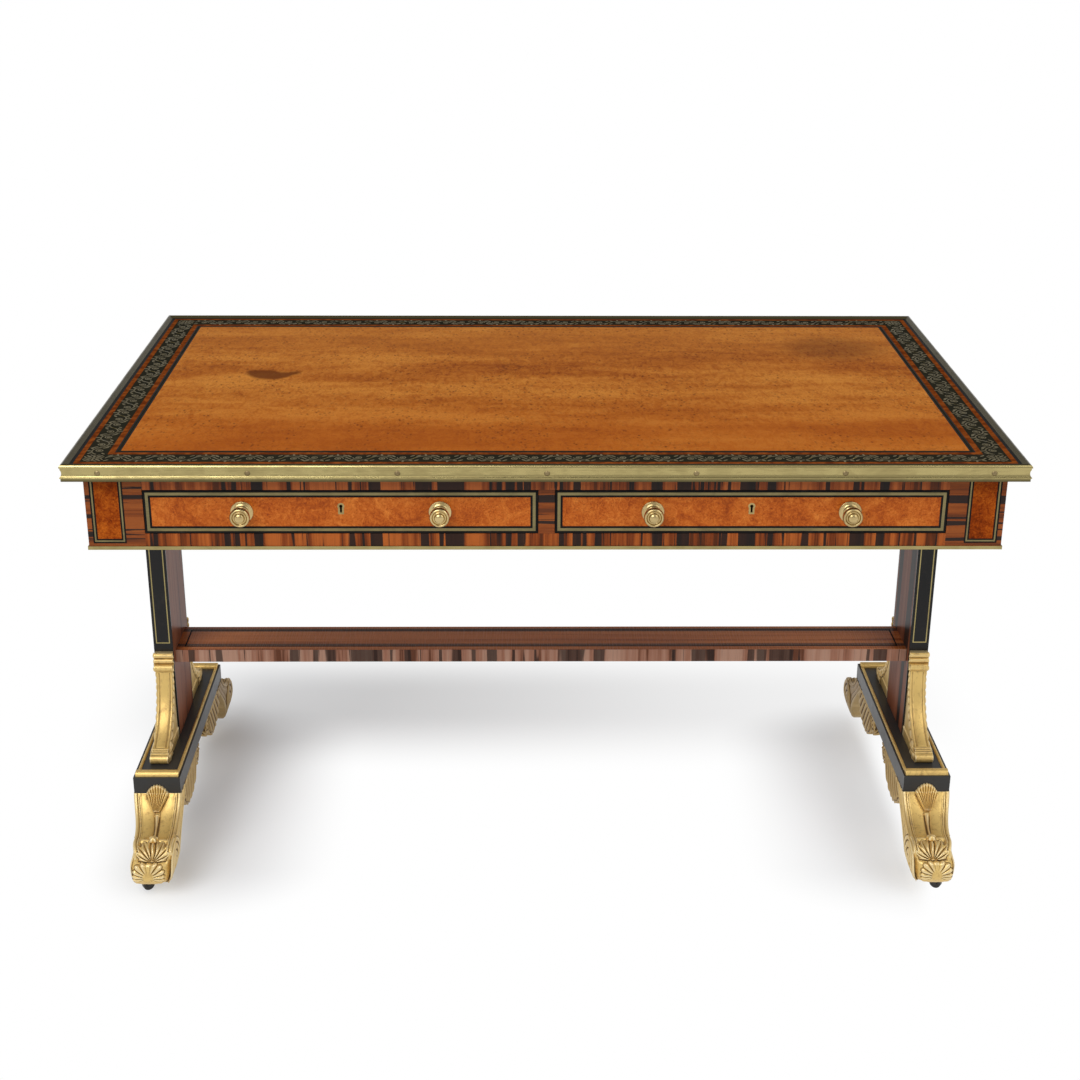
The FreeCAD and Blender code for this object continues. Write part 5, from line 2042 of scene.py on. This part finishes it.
    def cover(self) -> BMesh:
        """Shell over the joint of plinth and foot.

        Returns:
            A closed mesh in millimetres.
        """
        shape = bmesh.new()
        bmesh.ops.create_grid(shape, x_segments=self.shell.spokes, y_segments=self.shell.rings, size=0.5)
        back, rise = self.shell.lean
        for vert in shape.verts:
            x, up, lift = self.shell.stand(2 * vert.co.x, vert.co.y + 0.5)
            if up >= 0:
                vert.co = Vector((self.middle + x, -self.end - lift, self.root_high + up))
            else:
                spot = self.along(-up)
                vert.co = Vector((self.middle + x, -spot.x - lift * back, spot.y + lift * rise))
        bmesh.ops.remove_doubles(shape, verts=shape.verts, dist=self.shell.weld)
        rim = [edge for edge in shape.edges if edge.is_boundary]
        swept = bmesh.ops.extrude_edge_only(shape, edges=rim)["geom"]
        sunk = [item for item in swept if isinstance(item, BMVert)]
        bmesh.ops.translate(shape, vec=(0, self.shell.sink, 0), verts=sunk)
        rim = [edge for edge in shape.edges if edge.is_boundary]
        bmesh.ops.holes_fill(shape, edges=rim, sides=0)
        return shape

    def set_boss(self, shape: BMesh, boss: Boss) -> None:
        """Add a boss on the front line.

        Args:
            shape: Mesh to add to.
            boss: Its sizes.
        """
        index = round(self.steps * boss.down / self.length)
        ahead = (self.trail[index + 1] - self.trail[index - 1]).normalized()
        out = Vector((-ahead.y, ahead.x))
        wide, thick, long = boss.half
        made = bmesh.ops.create_icosphere(shape, subdivisions=4, radius=1.0)
        for vert in made["verts"]:
            flare = 1 + boss.flare * math.cos(math.atan2(vert.co.x, vert.co.z) * boss.petals)
            vert.co = Vector((vert.co.x * wide * flare, vert.co.y * thick, vert.co.z * long * flare))
        lean = Matrix.Rotation(-math.atan2(out.y, out.x), 4, "X")
        spot = self.trail[index]
        middle = sum(self.sides(spot.y)) / 2
        spot = spot - out * boss.sunk
        place = Matrix.Translation((middle, -spot.x, spot.y))
        bmesh.ops.transform(shape, matrix=place @ lean, verts=made["verts"])

    def body(self) -> BMesh:
        """Carved foot with its castor pocket.

        Returns:
            A closed mesh in millimetres.
        """
        carving = Carving(self.front, self.back_line(), self.sides, self.raise_front, self.raise_side,
                          rows=230, front_columns=100, side_columns=44)
        shape = carving.skin()
        bmesh.ops.recalc_face_normals(shape, faces=shape.faces)
        drill = bmesh.new()
        place = Matrix.Translation((self.middle + self.castor_shift, self.castor_setback - self.toe_out, 0))
        bmesh.ops.create_cone(drill, cap_ends=True, segments=40, radius1=self.pocket, radius2=self.pocket,
                              depth=2 * self.pocket_high, matrix=place)
        return cut_out(shape, drill)

    def build(self) -> None:
        """Carve one foot with its shell and set it at the four corners."""
        shell = self.cover()
        for boss in (self.bud, self.rosette):
            self.set_boss(shell, boss)
        # The back copies take the darker gilding, painted shade.
        pair = (Finishes.gilt, Finishes.shaded_gilt)
        set_at_corners("foot_", self.body(), *pair, ["feet"], crease=70.0, hollows=8)
        set_at_corners("foot_shell_", shell, *pair, [], crease=70.0, hollows=5)


def cut_out(shape: BMesh, drill: BMesh) -> BMesh:
    """Take one closed shape out of another and use both up.

    Args:
        shape: Shape to cut.
        drill: Shape to take away.

    Returns:
        What is left.
    """
    made = []
    for name, source in (("blank", shape), ("drill", drill)):
        mesh = bpy.data.meshes.new(name)
        source.to_mesh(mesh)
        source.free()
        made.append(bpy.data.objects.new(name, mesh))
        bpy.context.scene.collection.objects.link(made[-1])
    blank, cutter = made
    cut = blank.modifiers.new("pocket", "BOOLEAN")
    cut.operation = "DIFFERENCE"
    cut.solver = "EXACT"
    cut.object = cutter
    left = bmesh.new()
    left.from_object(blank, bpy.context.evaluated_depsgraph_get())
    for thing in made:
        mesh = thing.data
        bpy.data.objects.remove(thing)
        bpy.data.meshes.remove(mesh)
    return left


@dataclass
class LeafScroll(Assembly):
    """A carved leaf hung under the plinth behind each foot, curling to a small volute."""

    wide: float = 66.0
    volute: float = 14.0
    volute_high: float = 2.4
    volute_pitch: float = 7.0
    eye_rise: float = 1.0
    drop: float = 57.0
    near: float = 36.0
    far: float = 175.0
    vein: float = 3.0
    vein_wide: float = 2.6
    rib: float = 15.0
    rib_high: float = 5.0
    rib_lean: float = 0.9
    rib_blunt: float = 0.7
    margin: float = 2.0
    margin_soft: float = 8.0
    sink: float = 2.0
    side_steps: Pair = (5.4, 11.0)
    side_lean: float = 2.0
    side_blunt: float = 0.8
    side_high: Pair = (0.3, 3.4)
    side_span: Span = Span(0.02, 0.98, 0.1)

    def __post_init__(self) -> None:
        """Take the plinth's place from the frame and draw the leaf's line."""
        _, high = mm_box("foot_scrolls")
        self.outer = high.x
        self.root = high.z
        notch = self.near + 2 * self.volute
        middle = self.root - self.volute
        low = middle - self.volute
        self.eye = Vector((self.near + self.volute, middle + self.eye_rise))
        self.line = Outline((self.far, middle))
        self.line.arc_to(((notch + self.far) / 2, self.root - self.drop), (notch, low), steps=60)
        self.line.arc_to((self.near + self.volute / 2, low), (self.near, middle), steps=30)
        self.length = self.line.length()

    def sides(self, height: float) -> Pair:
        """Inner and outer side, the same at every height."""
        return self.outer - self.wide, self.outer

    def raise_front(self, x: float, down: float) -> float:
        """Height of the ribs and the middle vein on the underside.

        Args:
            x: Place across, from the middle.
            down: Length down the front line.

        Returns:
            Relief in millimetres.
        """
        off = abs(x)
        vein = self.vein * math.exp(-(off / self.vein_wide) ** 2)
        rib = abs(math.sin(math.pi * (down + off * self.rib_lean) / self.rib)) ** self.rib_blunt
        inside = Span(self.margin, self.length - self.margin, self.margin_soft).at(down)
        return (vein + self.rib_high * rib) * inside - self.sink

    def raise_side(self, spot: Vector, depth: float) -> float:
        """Height of the volute and the leaf ribs on a side.

        Args:
            spot: Place out from the middle and up.
            depth: Share of the way from front to back.

        Returns:
            Relief in millimetres.
        """
        arm = spot - self.eye
        if arm.length < self.volute:
            turn = math.atan2(arm.y, arm.x) / (2 * math.pi)
            return self.volute_high * math.sin(math.pi * ((arm.length / self.volute_pitch + turn) % 1.0))
        wave = spot.x / self.side_steps[0] + spot.y / self.side_steps[1] + depth * self.side_lean
        ribs = abs(math.sin(wave)) ** self.side_blunt
        return (self.side_high[0] + self.side_high[1] * ribs) * self.side_span.at(depth)

    def build(self) -> None:
        """Carve one leaf and set it at the four corners."""
        back = Outline((self.far, self.root)).line_to((self.near, self.root))
        carving = Carving(self.line, back, self.sides, self.raise_front, self.raise_side, rows=190,
                          front_columns=56, side_columns=30)
        # The leaf scrolls take the darker gilding, painted shade.
        gilt = Finishes.shaded_gilt
        set_at_corners("leaf_scroll_", carving.skin(), gilt, gilt, ["foot_scrolls"], crease=70.0, hollows=16)


@dataclass
class Castors(Assembly):
    """The castors let into the toes."""

    def dress(self) -> None:
        """Give the castors their finishes."""
        dress(["castor_plates"], Finishes.lock)
        for corner in CORNERS:
            dress(["castor_fork_" + corner, "castor_wheel_" + corner], Finishes.iron)


@dataclass(frozen=True)
class SoftBox:
    """A square lamp: its place and size in metres, and its power in watts."""

    place: Triple
    size: float
    power: float


@dataclass
class Studio:
    """Pale floor, soft light and the camera."""

    focal: float = 1751.0
    picture: float = 1080.0
    axis_point: Pair = (535.95, 540.66)
    sensor: float = 36.0
    eye: Triple = (-0.040706, -2.57806, 1.502712)
    pitch: float = 0.381
    yaw: float = 0.012
    roll: float = -0.004
    floor_half: float = 9.0
    floor_tone: Colour = tint(0.88, 0.905, 0.93)
    # Painted shadow on the floor: the white glow thins near the plinths and in a band behind the table.
    plinth_line: float = 0.56
    plinth_half: float = 0.20
    shadow_reach: Step = Step(0.02, 0.25)
    shadow_least: Pair = (0.16, 0.44)
    shadow_lean: Step = Step(-0.60, 0.55)
    outside_stretch: Pair = (1.5, 5.0)
    ahead_stretch: float = 1.5
    shadow_band_line: float = 0.36
    shadow_band_reach: Step = Step(0.27, 0.04)
    shadow_band_ends: Step = Step(0.85, 0.50)
    shadow_band_depth: Pair = (0.66, 0.22)
    sky: float = 0.45
    horizon: Step = Step(0.20, 0.06)
    aim: Triple = (0.0, 0.0, 0.5)
    key: SoftBox = SoftBox((-1.6, -2.6, 3.2), 2.4, 80.0)
    fill: SoftBox = SoftBox((2.4, -1.6, 2.6), 2.2, 30.0)

    def camera(self) -> None:
        """Stand the camera where the photograph was taken."""
        lens = bpy.data.cameras.new("camera")
        lens.sensor_width = self.sensor
        lens.lens = self.focal / self.picture * self.sensor
        lens.shift_x = (self.picture / 2 - self.axis_point[0]) / self.picture
        lens.shift_y = (self.axis_point[1] - self.picture / 2) / self.picture
        camera = bpy.data.objects.new("camera", lens)
        place = Matrix.Translation(self.eye)
        for angle, axis in ((-self.yaw, "Z"), (math.pi / 2 - self.pitch, "X"), (-self.roll, "Z")):
            place = place @ Matrix.Rotation(angle, 4, axis)
        camera.matrix_world = place
        bpy.context.scene.collection.objects.link(camera)
        bpy.context.scene.camera = camera

    def seen(self, graph: Graph) -> Tuple[Wire, Wire]:
        """How the camera sees a place.

        Args:
            graph: Graph to add to.

        Returns:
            Whether it sees it straight, and whether mirrored or through glass.
        """
        path = graph.node("ShaderNodeLightPath", output="Is Camera Ray")
        outputs = path.socket.node.outputs
        return path, Wire(graph, outputs["Is Glossy Ray"]).most(Wire(graph, outputs["Is Transmission Ray"]))

    def between(self, share: Wire, ends: Pair) -> Wire:
        """Value on the way from one end to the other."""
        return share * (ends[1] - ends[0]) + ends[0]

    def floor(self) -> None:
        """Lay a pale floor that runs out to white, with a painted shadow: the white glow thins near the
        plinths, more on the left, and in a band behind the table, so that the lit floor shows its shadow
        there.
        """
        shape = bmesh.new()
        bmesh.ops.create_grid(shape, x_segments=1, y_segments=1, size=self.floor_half)
        mesh = bpy.data.meshes.new("floor")
        shape.to_mesh(mesh)
        shape.free()
        material, graph = new_finish("pale_floor")
        x, y, _ = graph.axes()
        # Painted shadow mask: the glow's share falls near the plinths, more on the left, and in a band
        # behind the table.
        lean = graph.step(x, self.shadow_lean)
        outside = abs(x) - self.plinth_line
        aside = outside.most(0.0) * self.between(lean, self.outside_stretch) + (0 - outside).most(0.0)
        ahead = (abs(y) - self.plinth_half).most(0.0) * self.ahead_stretch
        far = (aside * aside + ahead * ahead) ** 0.5
        least = self.between(lean, self.shadow_least)
        pale = graph.step(far, self.shadow_reach) * (1 - least) + least
        band = graph.step(abs(y - self.shadow_band_line), self.shadow_band_reach) * graph.step(abs(x), self.shadow_band_ends)
        pale = pale * (1 - band * self.between(lean, self.shadow_band_depth))
        straight, mirrored_in = self.seen(graph)
        share = pale * straight.most(mirrored_in)
        matt = graph.node("ShaderNodeBsdfDiffuse", inputs={"Color": self.floor_tone})
        glow = graph.node("ShaderNodeEmission", inputs={"Color": tint(1, 1, 1), "Strength": 1.0})
        graph.node_output(graph.node("ShaderNodeMixShader", inputs={0: share, 1: matt, 2: glow}))
        mesh.materials.append(material)
        floor = bpy.data.objects.new("floor", mesh)
        bpy.context.scene.collection.objects.link(floor)

    def lights(self) -> None:
        """Hang two soft boxes and a white sky."""
        for name, soft_box in (("key", self.key), ("fill", self.fill)):
            lamp = bpy.data.lights.new(name, "AREA")
            lamp.size = soft_box.size
            lamp.energy = soft_box.power
            box = bpy.data.objects.new(name, lamp)
            turn = (Vector(self.aim) - Vector(soft_box.place)).to_track_quat("-Z", "Y").to_matrix()
            box.matrix_world = Matrix.Translation(soft_box.place) @ turn.to_4x4()
            bpy.context.scene.collection.objects.link(box)
        world = bpy.data.worlds.new("white_sky")
        world.use_nodes = True
        graph = Graph(world.node_tree)
        straight, mirrored_in = self.seen(graph)
        _, _, rise = graph.axes()
        backdrop = mirrored_in * graph.step(rise, self.horizon)
        level = straight.most(backdrop) * (1 - self.sky) + self.sky
        sky = graph.node("ShaderNodeBackground", inputs={"Color": tint(1, 1, 1), "Strength": level})
        out = world.node_tree.nodes.new("ShaderNodeOutputWorld")
        world.node_tree.links.new(sky.socket, out.inputs["Surface"])
        bpy.context.scene.world = world

    def build(self) -> None:
        """Set the whole studio."""
        bpy.context.scene.view_settings.view_transform = "Standard"
        self.floor()
        self.lights()
        self.camera()


def main() -> None:
    """Build and dress the table in order."""
    logging.basicConfig(level=logging.INFO, format="%(message)s")
    drawers = Drawers(TurnedKnob())
    assemblies: List[Assembly] = [Top(), Frieze(drawers), drawers, Bracket(), Base(), ScrollFoot(),
                                  LeafScroll(), Castors()]
    for assembly in assemblies:
        assembly.build()
        assembly.dress()
    Studio().build()


if __name__ == "__main__":
    main()
